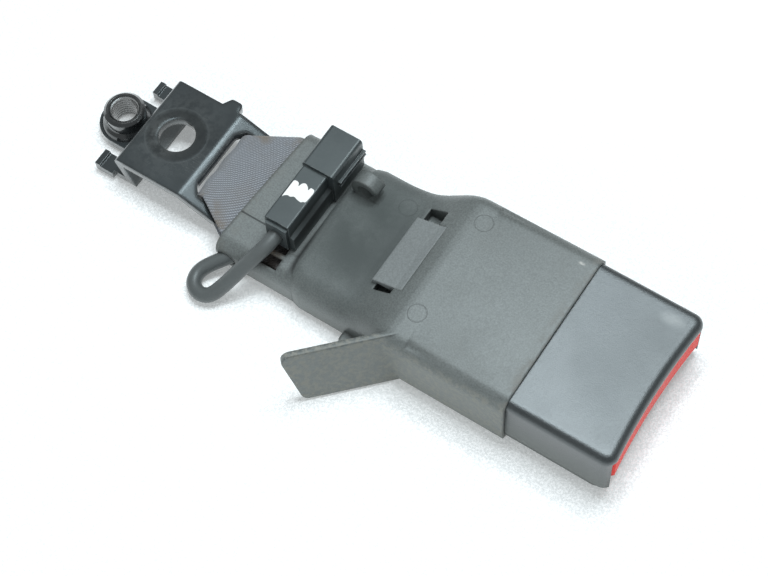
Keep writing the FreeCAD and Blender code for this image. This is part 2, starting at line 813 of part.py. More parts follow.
def make_boot():
    """Soft moulded boot: head pocket, slope, neck, rear sleeve, flap, seat and hook."""
    wall = boot_wall.value
    outer = loft("boot_outer", boot_sections())
    end = (reach - neck_back).value
    rear = (reach - sleeve_back).value
    half = sleeve_width.value / 2
    high = sleeve_height.value
    sleeve = loft("sleeve_outer", [even(station, half, 0.3, high, 2.0, 5.2, 0.3)
                                   for station in (end + 3, rear - 0.2)])
    mouth = (reach - head_shown).value
    head_end = head_rear.value - 0.4
    neck_roof = neck_height.value - 4.4
    pocket_half = (half_head + boot_gap).value
    pocket_top = (head_top + boot_gap).value
    pocket_round = top_round.value
    box = loft("head_pocket", [even(station, pocket_half, wall, pocket_top, 1.0, pocket_round,
                                    0.05) for station in (mouth + 1, head_end)])
    floor = wall - 0.2
    channel = loft("belt_channel", [
        even(head_end + 1, tail_width.value / 2 + 0.8, floor, 13.0, 1.0, 4.0, 0.3),
        even(tail_end.value - 3, tail_width.value / 2 + 0.4, floor, neck_roof, 1.0, 4.0, 0.3),
        even(end + 12, web_width.value / 2 + 1.6, floor, neck_roof, 1.0, 4.0, 0.3),
        even(end, web_width.value / 2 + 1.6, floor, high - 1.1, 1.0, 3.2, 0.1),
        even(rear - 1, web_width.value / 2 + 1.6, floor, high - 1.1, 1.0, 3.2, 0.1)])
    slant = doc.addObject("PartDesign::Body", "sleeve_end")
    pad(slant, "XY", -1, sleeve_height + 2, rectangle(-12, 0, -5, sleeve_width + 5))
    slant.Placement = Placement(Vector(0, 0, 0), Rotation(Vector(0, 0, 1), -sleeve_slant.value))
    for axis, size in zip("xyz", (reach - sleeve_back, -sleeve_width / 2, 0)):
        bind(slant, f"Placement.Base.{axis}", size)
    body_round = doc.addObject("Part::MultiFuse", "boot_body")
    body_round.Shapes = [outer, sleeve] + boot_additions()
    cuts = doc.addObject("Part::MultiFuse", "boot_cuts")
    cuts.Shapes = [box, channel, slant] + boot_windows() + bridge_room("seat")
    made = doc.addObject("Part::Cut", "boot")
    made.Base = body_round
    made.Tool = cuts
    doc.recompute()
    node(made, "boot")
    return make_bridge(outer)


def boot_additions():
    """Flap, gusset, wiring seat and retaining hook of the boot."""
    slope_start = reach - head_shown - boot_box
    side = half_head + boot_gap + boot_wall
    flap = doc.addObject("PartDesign::Body", "boot_flap")
    pad(flap, "XZ", -(flap_sheet / 2), flap_sheet / 2,
        [(-3, 0), (flap_foot, 0), (flap_length, flap_height), (-3, flap_height)])
    round_edges(flap, 3.0, lambda m, w, e: abs(w.y) > 0.9 and m.x > flap_length.value * 0.8)
    turn = Rotation(Vector(0, 0, 1), flap_turn.value) * Rotation(Vector(1, 0, 0), flap_lean.value)
    flap.Placement = Placement(Vector(0, 0, 0), turn)
    for axis, size in zip("xyz", (slope_start + flap_front, flap_inset - side, flap_low)):
        bind(flap, f"Placement.Base.{axis}", size)
    gusset = doc.addObject("PartDesign::Body", "boot_gusset")
    pad(gusset, "XY", gusset_low, gusset_low + gusset_sheet,
        [(slope_start - 0.5, 3.9 - side), (slope_start - 11.6, -side - 13.2),
         (slope_start - 19.0, -side + 0.4), (slope_start - 19.0, 4.2 - side)])
    seat = part_box("wiring_seat", reach - connector_back - 1, reach - neck_back + 2,
                    -connector_rear - 1.3, shroud_length + 4,
                    sleeve_height - seat_height, sleeve_height)
    hook = doc.addObject("PartDesign::Body", "boot_hook")
    axis_x = reach - hook_back
    axis_z = neck_height + hook_rise
    pad(hook, "XZ", hook_side, hook_side + hook_width, (axis_x, axis_z, hook_size / 2))
    pocket(hook, "XZ", hook_side - 1, hook_side + hook_width + 1, (axis_x, axis_z, hook_bore / 2))
    pocket(hook, "XZ", hook_side - 1, hook_side + hook_width + 1,
           [(axis_x, axis_z), (axis_x + 7.2, axis_z - 5.6), (axis_x + 7.2, axis_z + 2.2)])
    return [flap, gusset, seat, hook]


def tunnel_span():
    """Rear and front stations of the bridge's tunnel and its floor."""
    rear = reach - head_shown - boot_box - bridge_front - bridge_run + 1.9
    return rear, rear + tunnel_run, neck_height - tunnel_sink


def bridge_room(name):
    """Blocks that the strap bridge fills: its roof over the tunnel and its rear foot."""
    rear, front, low = tunnel_span()
    front_end = reach - head_shown - boot_box - bridge_front
    back_end = front_end - bridge_run
    roof = low + tunnel_height
    return [part_box(f"bridge_roof_{name}", back_end, front_end, -bridge_near, bridge_far,
                     roof, head_top),
            part_box(f"bridge_foot_{name}", back_end, rear, -bridge_near, bridge_far,
                     neck_height + 0.3, head_top)]


def make_bridge(outer):
    """Strap bridge over its tunnel, flush with the slope in front of it."""
    body = doc.addObject("PartDesign::Body", "bridge_block")
    front = reach - head_shown - boot_box - bridge_front
    foot = neck_height - 1.6
    top = neck_height + bridge_rise
    pad(body, "XZ", -bridge_near, bridge_far,
        [(front - bridge_run, foot), (front - bridge_run, top - 2.8), (front - 2.9, top),
         (front, top - 1.4), (front, foot)])
    round_edges(body, 0.8, lambda m, w, e: abs(w.y) > 0.9 and m.z > top.value - 3.4)
    whole = doc.addObject("Part::MultiFuse", "bridge_whole")
    whole.Shapes = [body, outer]
    room = doc.addObject("Part::MultiFuse", "bridge_room")
    room.Shapes = bridge_room("own")
    made = doc.addObject("Part::MultiCommon", "boot_bridge")
    made.Shapes = [whole, room]
    doc.recompute()
    return node(made, "boot_bridge")


def boot_windows():
    """Openings through the boot: bridge tunnel, belt windows and cable hole."""
    rear, front, low = tunnel_span()
    tunnel = part_box("bridge_tunnel", rear, front, -bridge_near - tunnel_slit,
                      bridge_far + tunnel_mouth, low, head_top)
    left = reach - connector_back
    right = left + plug_width - 0.5
    sill = sleeve_height - 4.2
    head = sleeve_height + 6.8
    outer = window_inner + window_width
    window = part_box("belt_window_a", left, right, -outer, -window_inner, sill, head)
    second = part_box("belt_window_b", left, right, -outer - window_rib - window_second,
                      -outer - window_rib, sill, head)
    start = cable_exit + cable_inward / cable_inward.Length
    hole = part_cylinder("cable_hole", cable_size / 2 + 0.3, 12, (start.x, start.y, start.z),
                         -cable_inward)
    return [tunnel, window, second, hole]


def belt_wire(front, rear, front_radius, rear_radius):
    """Closed belt outline round two circles in the XZ plane."""
    gap = front - rear
    span = gap.Length
    lean = math.asin((front_radius - rear_radius) / span)
    heading = math.atan2(gap.z, gap.x)

    def rim(centre, radius, angle):
        return Vector(centre.x + radius * math.cos(angle), 0, centre.z + radius * math.sin(angle))

    up = heading + math.pi / 2 + lean
    down = heading - math.pi / 2 - lean
    front_edge = Part.Arc(rim(front, front_radius, down), rim(front, front_radius, heading),
                          rim(front, front_radius, up)).toShape()
    rear_edge = Part.Arc(rim(rear, rear_radius, up), rim(rear, rear_radius, heading + math.pi),
                         rim(rear, rear_radius, down)).toShape()
    upper = Part.makeLine(rim(front, front_radius, up), rim(rear, rear_radius, up))
    lower = Part.makeLine(rim(rear, rear_radius, down), rim(front, front_radius, down))
    return Part.Wire([front_edge, upper, rear_edge, lower])


# The belt bar of the bracket is the axis that the bracket swings on
bar_x = plate_front + bar_run
bar_z = plate_top - plate_sheet / 2 - bar_drop
bar_round = plate_sheet.value * 0.43
bar_reach = math.hypot(bar_width.value / 2 - bar_round, plate_sheet.value / 2 - bar_round)
loop_inner = bar_reach + bar_round + loop_gap.value


def make_webbing():
    """Flat strap that loops round the frame's tail bar and the bracket's belt bar."""
    frame_loop = frame_sheet.value / 2 + 0.12
    front = Vector((tail_end + tail_bar).value - 0.3, 0,
                   (floor_top + frame_sheet / 2).value - 0.05)
    rear = Vector(bar_x.value, 0, bar_z.value)
    thick = web_sheet.value
    outer = belt_wire(front, rear, frame_loop + thick, loop_inner + thick)
    inner = belt_wire(front, rear, frame_loop, loop_inner)
    width = web_width.value + 2
    across = Vector(0, width, 0)
    strap = Part.Face(outer).extrude(across).cut(Part.Face(inner).extrude(across))
    strap.translate(-across / 2)
    half = web_width.value / 2
    tight = web_gathered.value / 2
    taper_start = bar_x.value + 1.0
    taper_end = (reach - sleeve_back).value + 1
    ends = (bar_x.value - loop_inner - 4, front.x + 6)
    plan = [(ends[0], tight), (taper_start, tight), (taper_end, half), (ends[1], half),
            (ends[1], -half), (taper_end, -half), (taper_start, -tight), (ends[0], -tight)]
    corners = [Vector(x, y, -5) for x, y in plan]
    sheet_plan = Part.Face(Part.makePolygon(corners + corners[:1])).extrude(Vector(0, 0, 30))
    made = doc.addObject("Part::Feature", "webbing")
    made.Shape = strap.common(sheet_plan)
    return node(made, "webbing")


def make_bracket():
    """Stamped anchor bracket: bolt plate, folded back web, lower plate and belt slot."""
    body = new_body("anchor_bracket")
    half = plate_width / 2
    low = plate_top - plate_sheet
    slant = root(bar_run * bar_run + bar_drop * bar_drop)
    run = bar_run / slant
    drop = bar_drop / slant
    past = slant + bar_width / 2
    middle = plate_top - plate_sheet / 2
    end_x = plate_front + run * past
    end_z = middle - drop * past
    skin = plate_sheet / 2
    shift = plate_sheet * (bar_drop / (slant + bar_run)) / 2
    lower_low = lower_top - plate_sheet
    fold_x = -plate_back
    fold_low = fold_x + fold_inset
    side = [(end_x + drop * skin, end_z + run * skin), (plate_front + shift, plate_top),
            (fold_x, plate_top), (fold_low - 0.8, lower_top), (fold_low - 6, lower_top),
            (fold_low - 6, lower_low), (fold_low + 3.4, lower_low), (fold_x + 4.4, low),
            (plate_front - shift, low), (end_x - drop * skin, end_z - run * skin)]
    pad(body, "XZ", -half, half, side)
    edge = half
    lobe = nut_size / 2 + 2.4
    prong = half + 1.2
    inner = half - 4.8
    pad(body, "XY", lower_low, lower_top,
        [(fold_low - 5, -prong), (fold_low - 5, -edge + 0.5), (fold_low - 1, -edge + 0.5),
         (fold_low - 1, -inner), (-lower_back, -inner), (-lower_back, -prong)],
        [(fold_low - 5, prong - 1), (fold_low - 5, edge - 0.5), (fold_low - 1, edge - 0.5),
         (fold_low - 1, inner), (-lower_back, inner), (-lower_back, prong - 1)])
    pad(body, "XY", lower_low, lower_top, rectangle(-nut_back, fold_low - 2, -lobe, lobe))
    pad(body, "XY", lower_low, lower_top, (-nut_back, 0, lobe))
    pad(body, "XY", lower_low, lower_top + 1.0,
        rectangle(-lower_back - 1.4, -lower_back + 0.6, -prong, -inner),
        rectangle(-lower_back - 1.4, -lower_back + 0.6, inner, prong - 1))
    pocket(body, "XY", lower_low - 1, lower_top + 0.5,
           rectangle(fold_low - 12, fold_low - 2.2, -inner, -lobe),
           rectangle(fold_low - 12, fold_low - 2.2, lobe, inner))
    pocket(body, "XY", lower_low - 1, lower_top + 1, (-nut_back, 0, thread_size / 2 + 0.6))
    pocket(body, "XY", low - 2, plate_top + 1, (0, 0, bolt_hole / 2))
    bar_inner = bar_x - run * bar_width / 2
    half_slot = belt_slot / 2
    narrow = half_slot - 3.6
    slot_start = plate_front + 2.6
    pocket(body, "XY", -1, plate_top + 2,
           [(bar_inner, -half_slot), (bar_inner, half_slot), (bar_inner - 2.6, half_slot),
            (slot_start, narrow), (slot_start, -narrow), (bar_inner - 2.6, -half_slot)])
    ear = half + 3.2
    pad(body, "XY", low, plate_top,
        [(plate_front - 8, half - 1), (plate_front - 5.6, ear), (plate_front - 1.4, ear),
         (plate_front - 0.6, half - 1)])
    round_edges(body, 1.4, lambda m, w, e: abs(w.z) > 0.9 and m.y > half.value + 2
                and m.x > 0)
    round_edges(body, 1.6, lambda m, w, e: abs(w.z) > 0.8 and abs(m.y) < half_slot.value + 0.1
                and plate_front.value < m.x < bar_x.value - 3.2)
    round_edges(body, bar_round,
                lambda m, w, e: abs(w.y) > 0.9 and math.hypot(m.x - bar_x.value,
                                                              m.z - bar_z.value) < 4.2)
    round_edges(body, 2.0, lambda m, w, e: abs(w.y) > 0.9 and near(m.x, fold_x, 0.3)
                and near(m.z, plate_top))
    return body


def make_nut():
    """Flared weld nut on the lobe of the lower plate."""
    body = new_body("anchor_nut")
    sketch = place_sketch(body, "XZ", 0)
    minor = (thread_size - thread_pitch * 1.0825) / 2
    outer = nut_size / 2
    low = lower_top - plate_sheet
    top = lower_top + nut_height
    axis = -nut_back
    draw_polygon(sketch, [
        (axis + minor, low), (axis + thread_size / 2 + 0.5, low),
        (axis + thread_size / 2 + 0.5, lower_top), (axis + outer + 1.6, lower_top),
        (axis + outer + 1.0, lower_top + 1.2), (axis + outer, lower_top + 2.4),
        (axis + outer, top - 1.0), (axis + outer - 1.0, top), (axis + thread_size / 2 + 0.4, top),
        (axis + minor, top - 1.1)])
    line = Part.LineSegment(Vector(axis.value, 0, 0), Vector(axis.value, 10, 0))
    number = sketch.addGeometry(line, True)
    sketch.addConstraint(Sketcher.Constraint("Vertical", number))
    place = sketch.addConstraint(
        Sketcher.Constraint("DistanceX", -1, 1, number, 1, axis.value))
    sketch.setExpression(f"Constraints[{place}]", axis.text)
    turned = body.newObject("PartDesign::Revolution", "anchor_nut_turned")
    turned.Profile = (sketch, [""])
    turned.ReferenceAxis = (sketch, ["Axis0"])
    turned.Angle = 360
    doc.recompute()
    return body


def make_connector():
    """Wiring connector: wire side block and open shroud in one moulding."""
    body = new_body("connector_housing")
    low = sleeve_height
    left = reach - connector_back
    right = left + plug_width
    rear = -connector_rear
    step = rear + plug_length
    front = step + shroud_length
    top = low + plug_height
    pad(body, "XZ", rear, step,
        [(left, low), (right + 1.4, low), (right + 1.4, low + plug_height * 0.52),
         (right, low + plug_height * 0.56), (right, top), (left, top)])
    shroud_right = left + shroud_width
    shroud_top = low + shroud_height
    pad(body, "XZ", step - 0.2, front, rectangle(left - 0.4, shroud_right, low + 0.3, shroud_top))
    round_edges(body, 1.2, lambda m, w, e: abs(w.y) > 0.9 and m.z > top.value - 0.5
                and m.y > step.value)
    round_edges(body, 0.6, lambda m, w, e: abs(w.y) > 0.9 and near(m.z, top))
    for level in (0.48, 0.60):
        rib = low + shroud_height * level
        pad(body, "XY", rib, rib + 0.7,
            rectangle(shroud_right - 0.4, shroud_right + 1.0, step + 2, front + 0.1))
    pocket(body, "XZ", step + 5, front + 2,
           rectangle(left - 0.4 + shroud_wall, shroud_right - shroud_wall,
                     low + 0.3 + shroud_wall, shroud_top - shroud_wall))
    middle = left + plug_width / 2
    pocket(body, "XZ", rear - 1, rear + 6, (middle, low + cable_rise, cable_size / 2 + 0.1))
    return body


def make_terminals():
    """Two blade terminals in the shroud."""
    low = sleeve_height
    left = reach - connector_back
    step = -connector_rear + plug_length
    middle = low + 0.3 + shroud_height / 2
    blades = []
    for number, share in enumerate((0.34, 0.66)):
        centre = left - 0.4 + shroud_width * share
        blades.append(part_box(f"terminal_{number}", centre - 0.32, centre + 0.32,
                               step + 5, step + shroud_length - 3,
                               middle - 0.8, middle + 0.8))
    return grouped("connector_terminals", blades)


def make_rear_holder():
    """Rear plate of the connector that the cable leaves through."""
    low = sleeve_height
    left = reach - connector_back
    middle = left + plug_width / 2
    body = new_body("connector_rear_holder")
    face = -connector_rear
    pad(body, "XZ", face - 1.2, face,
        rectangle(left + 0.8, left + plug_width - 0.4, low + 1.2, low + plug_height - 1.4))
    pocket(body, "XZ", face - 2, face + 1, (middle, low + cable_rise, cable_size / 2 + 0.1))
    return body


def cable_wire(points, share=0.45):
    """Straight runs joined by tangent arcs, each as large as its two runs allow."""
    edges = []
    start = points[0]
    for index in range(1, len(points) - 1):
        corner = points[index]
        back = points[index - 1] - corner
        ahead = points[index + 1] - corner
        cut = share * min(back.Length, ahead.Length)
        half_turn = (math.pi - back.getAngle(ahead)) / 2
        radius = cut / math.tan(half_turn)
        print(f"cable bend {index}: radius {radius:.1f} mm, turn {math.degrees(2 * half_turn):.0f}")
        enter = corner + back.normalize() * cut
        leave = corner + ahead.normalize() * cut
        inward = (back + ahead).normalize()
        middle = corner + inward * (radius / math.cos(half_turn) - radius)
        edges.append(Part.makeLine(start, enter))
        edges.append(Part.Arc(enter, middle, leave).toShape())
        start = leave
    edges.append(Part.makeLine(start, points[-1]))
    return Part.Wire(edges)


def make_cable():
    """Two-core switch cable in a round jacket, looped back into the boot."""
    spine = cable_wire(CABLE_ROUTE)
    ring = Part.Wire(Part.makeCircle(cable_size.value / 2, CABLE_ROUTE[0], Vector(0, -1, 0)))
    made = doc.addObject("Part::Feature", "switch_cable")
    made.Shape = spine.makePipeShell([ring], True, True)
    expected = math.pi * (cable_size.value / 2) ** 2 * spine.Length
    print(f"cable volume {made.Shape.Volume:.1f} mm3, section times length {expected:.1f} mm3")
    return node(made, "switch_cable")


make_upper_cover()
make_lower_cover()
make_button()
make_button_springs()
build_internals()
make_boot()
make_webbing()
make_bracket()
make_nut()
make_connector()
make_terminals()
make_rear_holder()
make_cable()
origin_height = plate_top - plate_sheet / 2
for part in NODES.values():
    bind(part, "Placement.Base.z", -origin_height)
doc.recompute()


def check_document():
    """Every object is up to date and every sub-part is a valid solid."""
    for item in doc.Objects:
        if "Invalid" in item.State or "Error" in item.State:
            raise RuntimeError(f"{item.Label} failed: {item.State}")
    for label, item in NODES.items():
        shape = item.Shape
        if shape.isNull() or not shape.isValid() or not shape.Solids:
            raise RuntimeError(f"{label} is not a valid solid")


check_document()
os.makedirs("parts", exist_ok=True)
for label, item in NODES.items():
    item.Shape.exportStep(f"parts/{label}.step")
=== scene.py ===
"""Looks of a seat belt buckle: boot, webbing, cable, finishes, camera and studio.

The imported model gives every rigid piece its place. This script dresses those pieces,
models the soft ones as their own surfaces, and sets up the camera, lamps and floor.
Lengths are metres in the model's frame: +X runs from the anchor to the button, +Z is up.
Heights in the sizes below are counted from the surface that the buckle lies on.
"""

import logging
import math
from dataclasses import dataclass
from enum import Enum
from typing import Callable, Sequence

import bpy
import numpy as np
from mathutils import Matrix, Vector


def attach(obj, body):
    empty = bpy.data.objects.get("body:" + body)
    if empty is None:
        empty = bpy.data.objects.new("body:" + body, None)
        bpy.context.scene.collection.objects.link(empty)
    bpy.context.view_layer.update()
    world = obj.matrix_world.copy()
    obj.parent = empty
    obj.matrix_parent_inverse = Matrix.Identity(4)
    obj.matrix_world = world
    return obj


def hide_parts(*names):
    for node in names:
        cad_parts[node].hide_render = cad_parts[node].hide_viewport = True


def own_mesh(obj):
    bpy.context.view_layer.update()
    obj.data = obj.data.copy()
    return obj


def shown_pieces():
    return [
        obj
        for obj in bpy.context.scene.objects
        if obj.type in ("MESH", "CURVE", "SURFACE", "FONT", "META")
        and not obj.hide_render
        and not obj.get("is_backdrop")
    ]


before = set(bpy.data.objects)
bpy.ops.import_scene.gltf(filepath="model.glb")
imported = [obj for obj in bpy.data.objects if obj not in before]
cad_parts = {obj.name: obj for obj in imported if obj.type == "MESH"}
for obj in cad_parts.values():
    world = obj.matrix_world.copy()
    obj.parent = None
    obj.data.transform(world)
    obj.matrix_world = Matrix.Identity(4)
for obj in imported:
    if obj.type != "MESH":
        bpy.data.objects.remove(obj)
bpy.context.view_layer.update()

LOG = logging.getLogger("buckle")
MM = 0.001
SURFACE = -11.7 * MM          # height of the surface that the buckle lies on
BUCKLE = "buckle"             # the body that the soft pieces ride on
STRAP_MAP = "strap"           # the webbing's own map, which its weave reads
MIX_INPUTS = (0, 6, 7)        # the Mix node's share and its two colours
MIX_RESULT = 2
Colour = tuple[float, float, float]
Place = tuple[float, float, float]
Solid = tuple[float, float, float, float]


class Axis(Enum):
    """The coordinate that a band of wear follows."""

    X = 0
    Y = 1
    HEIGHT = 2


def up(height: float) -> float:
    """Turn a height above the surface in millimetres into a model height in metres."""
    return SURFACE + height * MM


def point(x: float, y: float, height: float = 0.0) -> Place:
    """A place in millimetres as metres in the model's frame."""
    return (x * MM, y * MM, up(height))


def grey(level: float, tint: Colour = (1.0, 1.0, 1.0)) -> Colour:
    """A grey of one level with a slight tint."""
    return (level * tint[0], level * tint[1], level * tint[2])


def solid(colour: Colour) -> Solid:
    """A colour with the fourth value that sockets take, opaque."""
    return (*colour, 1.0)


class Nodes:
    """A small helper that adds and links the nodes of one shader tree."""

    def __init__(self, tree: bpy.types.NodeTree) -> None:
        """Keep the tree that the nodes go into."""
        self.tree = tree

    def add(self, kind: str, **settings: object) -> bpy.types.Node:
        """Add a node.

        Args:
            kind: Blender's identifier of the node type.
            settings: properties to set on it.

        Returns:
            The new node.
        """
        made = self.tree.nodes.new(kind)
        for name, value in settings.items():
            setattr(made, name, value)
        return made

    def link(self, source: bpy.types.NodeSocket, target: bpy.types.NodeSocket) -> None:
        """Join an output to an input."""
        self.tree.links.new(source, target)

    def feed(self, target: bpy.types.NodeSocket, value: object) -> None:
        """Link a socket, or set a plain value, on an input.

        Args:
            target: the input.
            value: an output to link, or a number, colour or vector to set.
        """
        if isinstance(value, bpy.types.NodeSocket):
            self.link(value, target)
        else:
            target.default_value = value

    def math(self, operation: str, *values: object) -> bpy.types.NodeSocket:
        """Work out a number.

        Args:
            operation: the Math node's operation.
            values: up to three numbers or sockets.

        Returns:
            The result's socket.
        """
        made = self.add("ShaderNodeMath", operation=operation)
        for socket, value in zip(made.inputs, values):
            self.feed(socket, value)
        return made.outputs[0]

    def times(self, first: object, *others: object) -> bpy.types.NodeSocket:
        """Multiply numbers or sockets.

        Args:
            first: the first factor.
            others: the factors that follow.

        Returns:
            The product's socket.
        """
        for other in others:
            first = self.math("MULTIPLY", first, other)
        return first

    def vector(self, operation: str, first: object, second: object = None) -> bpy.types.NodeSocket:
        """Work out a vector, its length or a dot product.

        Args:
            operation: the Vector Math node's operation.
            first: the first vector.
            second: the second vector, or the factor of SCALE.

        Returns:
            The result's socket: a number for LENGTH and DOT_PRODUCT, and a vector otherwise.
        """
        made = self.add("ShaderNodeVectorMath", operation=operation)
        self.feed(made.inputs[0], first)
        if second is not None:
            self.feed(made.inputs["Scale" if operation == "SCALE" else 1], second)
        return made.outputs["Value" if operation in ("LENGTH", "DOT_PRODUCT") else "Vector"]

    def span(self, value: object, low: float, high: float,
             start: float = 0.0, end: float = 1.0) -> bpy.types.NodeSocket:
        """A smooth, clamped change from start to end as value goes from low to high.

        Args:
            value: the number that is followed.
            low: its value where the result is start.
            high: its value where the result is end.
            start: the first result.
            end: the last result.

        Returns:
            The result's socket.
        """
        made = self.add("ShaderNodeMapRange", interpolation_type="SMOOTHSTEP")
        for name, number in (("From Min", low), ("From Max", high), ("To Min", start),
                             ("To Max", end)):
            made.inputs[name].default_value = number
        self.feed(made.inputs["Value"], value)
        return made.outputs["Result"]

    def mix(self, share: object, first: object, second: object) -> bpy.types.NodeSocket:
        """Mix two colours.

        Args:
            share: how much of the second colour.
            first: the first colour.
            second: the second colour.

        Returns:
            The mixed colour's socket.
        """
        made = self.add("ShaderNodeMix", data_type="RGBA")
        for index, value in zip(MIX_INPUTS, (share, first, second)):
            self.feed(made.inputs[index], value)
        return made.outputs[MIX_RESULT]

    def noise(self, place: object, scale: float, detail: float = 2.0,
              rough: float = 0.5) -> bpy.types.NodeSocket:
        """Fractal noise at a place.

        Args:
            place: where it is read.
            scale: its features to the metre.
            detail: how many finer layers it has.
            rough: how strong those layers are.

        Returns:
            The noise value's socket.
        """
        made = self.add("ShaderNodeTexNoise")
        for name, value in (("Scale", scale), ("Detail", detail), ("Roughness", rough),
                            ("Vector", place)):
            self.feed(made.inputs[name], value)
        return made.outputs["Fac"]

    def place(self) -> bpy.types.NodeSocket:
        """Object coordinates."""
        return self.add("ShaderNodeTexCoord").outputs["Object"]

    def split(self, vector: bpy.types.NodeSocket) -> list[bpy.types.NodeSocket]:
        """Take a vector apart.

        Args:
            vector: the vector's socket.

        Returns:
            The sockets of its three parts.
        """
        made = self.add("ShaderNodeSeparateXYZ")
        self.link(vector, made.inputs[0])
        return list(made.outputs)

    def bump(self, height: object, distance: float, strength: float = 1.0,
             normal: object = None) -> bpy.types.NodeSocket:
        """Bump a normal by a height.

        Args:
            height: the relief.
            distance: metres for one unit of it.
            strength: how far the normal follows it.
            normal: the normal before, or None for the surface's own.

        Returns:
            The bumped normal's socket.
        """
        made = self.add("ShaderNodeBump")
        for name, value in (("Distance", distance), ("Strength", strength), ("Height", height)):
            self.feed(made.inputs[name], value)
        if normal is not None:
            self.link(normal, made.inputs["Normal"])
        return made.outputs["Normal"]

    def mirrored(self, path: bpy.types.bpy_prop_collection) -> bpy.types.NodeSocket:
        """One where a ray comes from gloss or glass, by a Light Path node's outputs."""
        return self.math("MAXIMUM", path["Is Glossy Ray"], path["Is Transmission Ray"])


def blank_material(name: str) -> tuple[bpy.types.Material, Nodes, bpy.types.Node, bpy.types.Node]:
    """Make a material with one plain shader on its output.

    Args:
        name: the material's name.

    Returns:
        The material, a helper for its nodes, its shader and its output.
    """
    material = bpy.data.materials.new(name)
    material.use_nodes = True
    material.node_tree.nodes.clear()
    nodes = Nodes(material.node_tree)
    shader = nodes.add("ShaderNodeBsdfPrincipled")
    out = nodes.add("ShaderNodeOutputMaterial")
    nodes.link(shader.outputs[0], out.inputs[0])
    return material, nodes, shader, out


Sockets = dict[str, bpy.types.NodeSocket]


def group(name: str, inputs: Sequence[tuple[str, str, object]],
          outputs: Sequence[tuple[str, str]],
          build: Callable[[Nodes, Sockets], Sockets]) -> bpy.types.NodeTree:
    """Make a shader node group.

    Args:
        name: the group's name.
        inputs: name, socket type and default of each input.
        outputs: name and socket type of each output.
        build: fills the group, given its nodes helper and its input sockets.

    Returns:
        The node group.
    """
    tree = bpy.data.node_groups.new(name, "ShaderNodeTree")
    for label, kind, default in inputs:
        socket = tree.interface.new_socket(name=label, in_out="INPUT", socket_type=kind)
        if default is not None:
            socket.default_value = default
    for label, kind in outputs:
        tree.interface.new_socket(name=label, in_out="OUTPUT", socket_type=kind)
    nodes = Nodes(tree)
    entry = nodes.add("NodeGroupInput")
    leave = nodes.add("NodeGroupOutput")
    made = build(nodes, {label: entry.outputs[label] for label, _, _ in inputs})
    for label, socket in made.items():
        nodes.link(socket, leave.inputs[label])
    return tree


FLOAT = "NodeSocketFloat"
VECTOR = "NodeSocketVector"


def fill_grain(nodes: Nodes, given: Sockets) -> Sockets:
    """Spark grain of a moulded face: fine noise and coarse noise added up.

    Args:
        nodes: the group's nodes.
        given: its inputs, Place and Scale.

    Returns:
        Its output, Height.
    """
    scaled = nodes.vector("SCALE", given["Place"], given["Scale"])
    fine = nodes.noise(scaled, 1.0, 2.0, 0.6)
    coarse = nodes.noise(scaled, 0.31, 1.0)
    return {"Height": nodes.math("ADD", nodes.times(fine, 0.7), nodes.times(coarse, 0.3))}


def fill_dust(nodes: Nodes, given: Sockets) -> Sockets:
    """Blotches of dust and rubbed dirt: a soft cloud plus a finer speckle.

    Args:
        nodes: the group's nodes.
        given: its inputs, Place and Amount.

    Returns:
        Its output, Mask.
    """
    cloud = nodes.span(nodes.noise(given["Place"], 55.0, 4.0, 0.62), 0.44, 0.72)
    speck = nodes.span(nodes.noise(given["Place"], 900.0, 3.0, 0.7), 0.40, 0.66)
    both = nodes.math("ADD", nodes.times(cloud, 0.65), nodes.times(speck, 0.35))
    return {"Mask": nodes.times(both, given["Amount"])}


def fill_edge_wear_and_highlight(nodes: Nodes, given: Sockets) -> Sockets:
    """Rubbed edges, and painted highlights along edges: where the face turns within a short reach,
    broken up by noise.

    Args:
        nodes: the group's nodes.
        given: its inputs, Place, Amount and Reach.

    Returns:
        Its outputs, Mask and the rounded Normal.
    """
    soft = nodes.add("ShaderNodeBevel", samples=4)
    nodes.link(given["Reach"], soft.inputs["Radius"])
    flat = nodes.add("ShaderNodeNewGeometry").outputs["Normal"]
    facing = nodes.vector("DOT_PRODUCT", soft.outputs[0], flat)
    sharp = nodes.span(facing, 0.80, 0.98, 1.0, 0.0)
    broken = nodes.span(nodes.noise(given["Place"], 260.0, 2.0, 0.55), 0.36, 0.60)
    return {"Mask": nodes.times(sharp, broken, given["Amount"]), "Normal": soft.outputs[0]}


def fill_ring(nodes: Nodes, given: Sockets) -> Sockets:
    """Upright ring: the distance from an upright axis is close to a radius.

    Args:
        nodes: the group's nodes.
        given: its inputs, Place, Centre, Radius and Width.

    Returns:
        Its outputs, Line on the ring and Inside within it.
    """
    away = nodes.vector("SUBTRACT", given["Place"], given["Centre"])
    reach = nodes.vector("LENGTH", nodes.vector("MULTIPLY", away, (1.0, 1.0, 0.0)))
    off = nodes.math("ABSOLUTE", nodes.math("SUBTRACT", reach, given["Radius"]))
    share = nodes.math("DIVIDE", off, given["Width"])
    return {"Line": nodes.span(share, 0.3, 1.0, 1.0, 0.0),
            "Inside": nodes.math("LESS_THAN", reach, given["Radius"])}


def fill_scratches(nodes: Nodes, given: Sockets) -> Sockets:
    """Short thin scratches: noise stretched one way, cut near its middle value.

    Args:
        nodes: the group's nodes.
        given: its inputs, Place and Amount.

    Returns:
        Its output, Mask.
    """
    turned = nodes.add("ShaderNodeMapping")
    turned.inputs["Rotation"].default_value = (0.4, 0.2, 0.7)
    turned.inputs["Scale"].default_value = (60.0, 1400.0, 700.0)
    nodes.link(given["Place"], turned.inputs["Vector"])
    line = nodes.noise(turned.outputs[0], 1.0, 1.0)
    thin = nodes.span(nodes.math("ABSOLUTE", nodes.math("SUBTRACT", line, 0.5)), 0.0, 0.012, 1.0,
                      0.0)
    where = nodes.span(nodes.noise(given["Place"], 120.0), 0.55, 0.68)
    return {"Mask": nodes.times(thin, where, given["Amount"])}


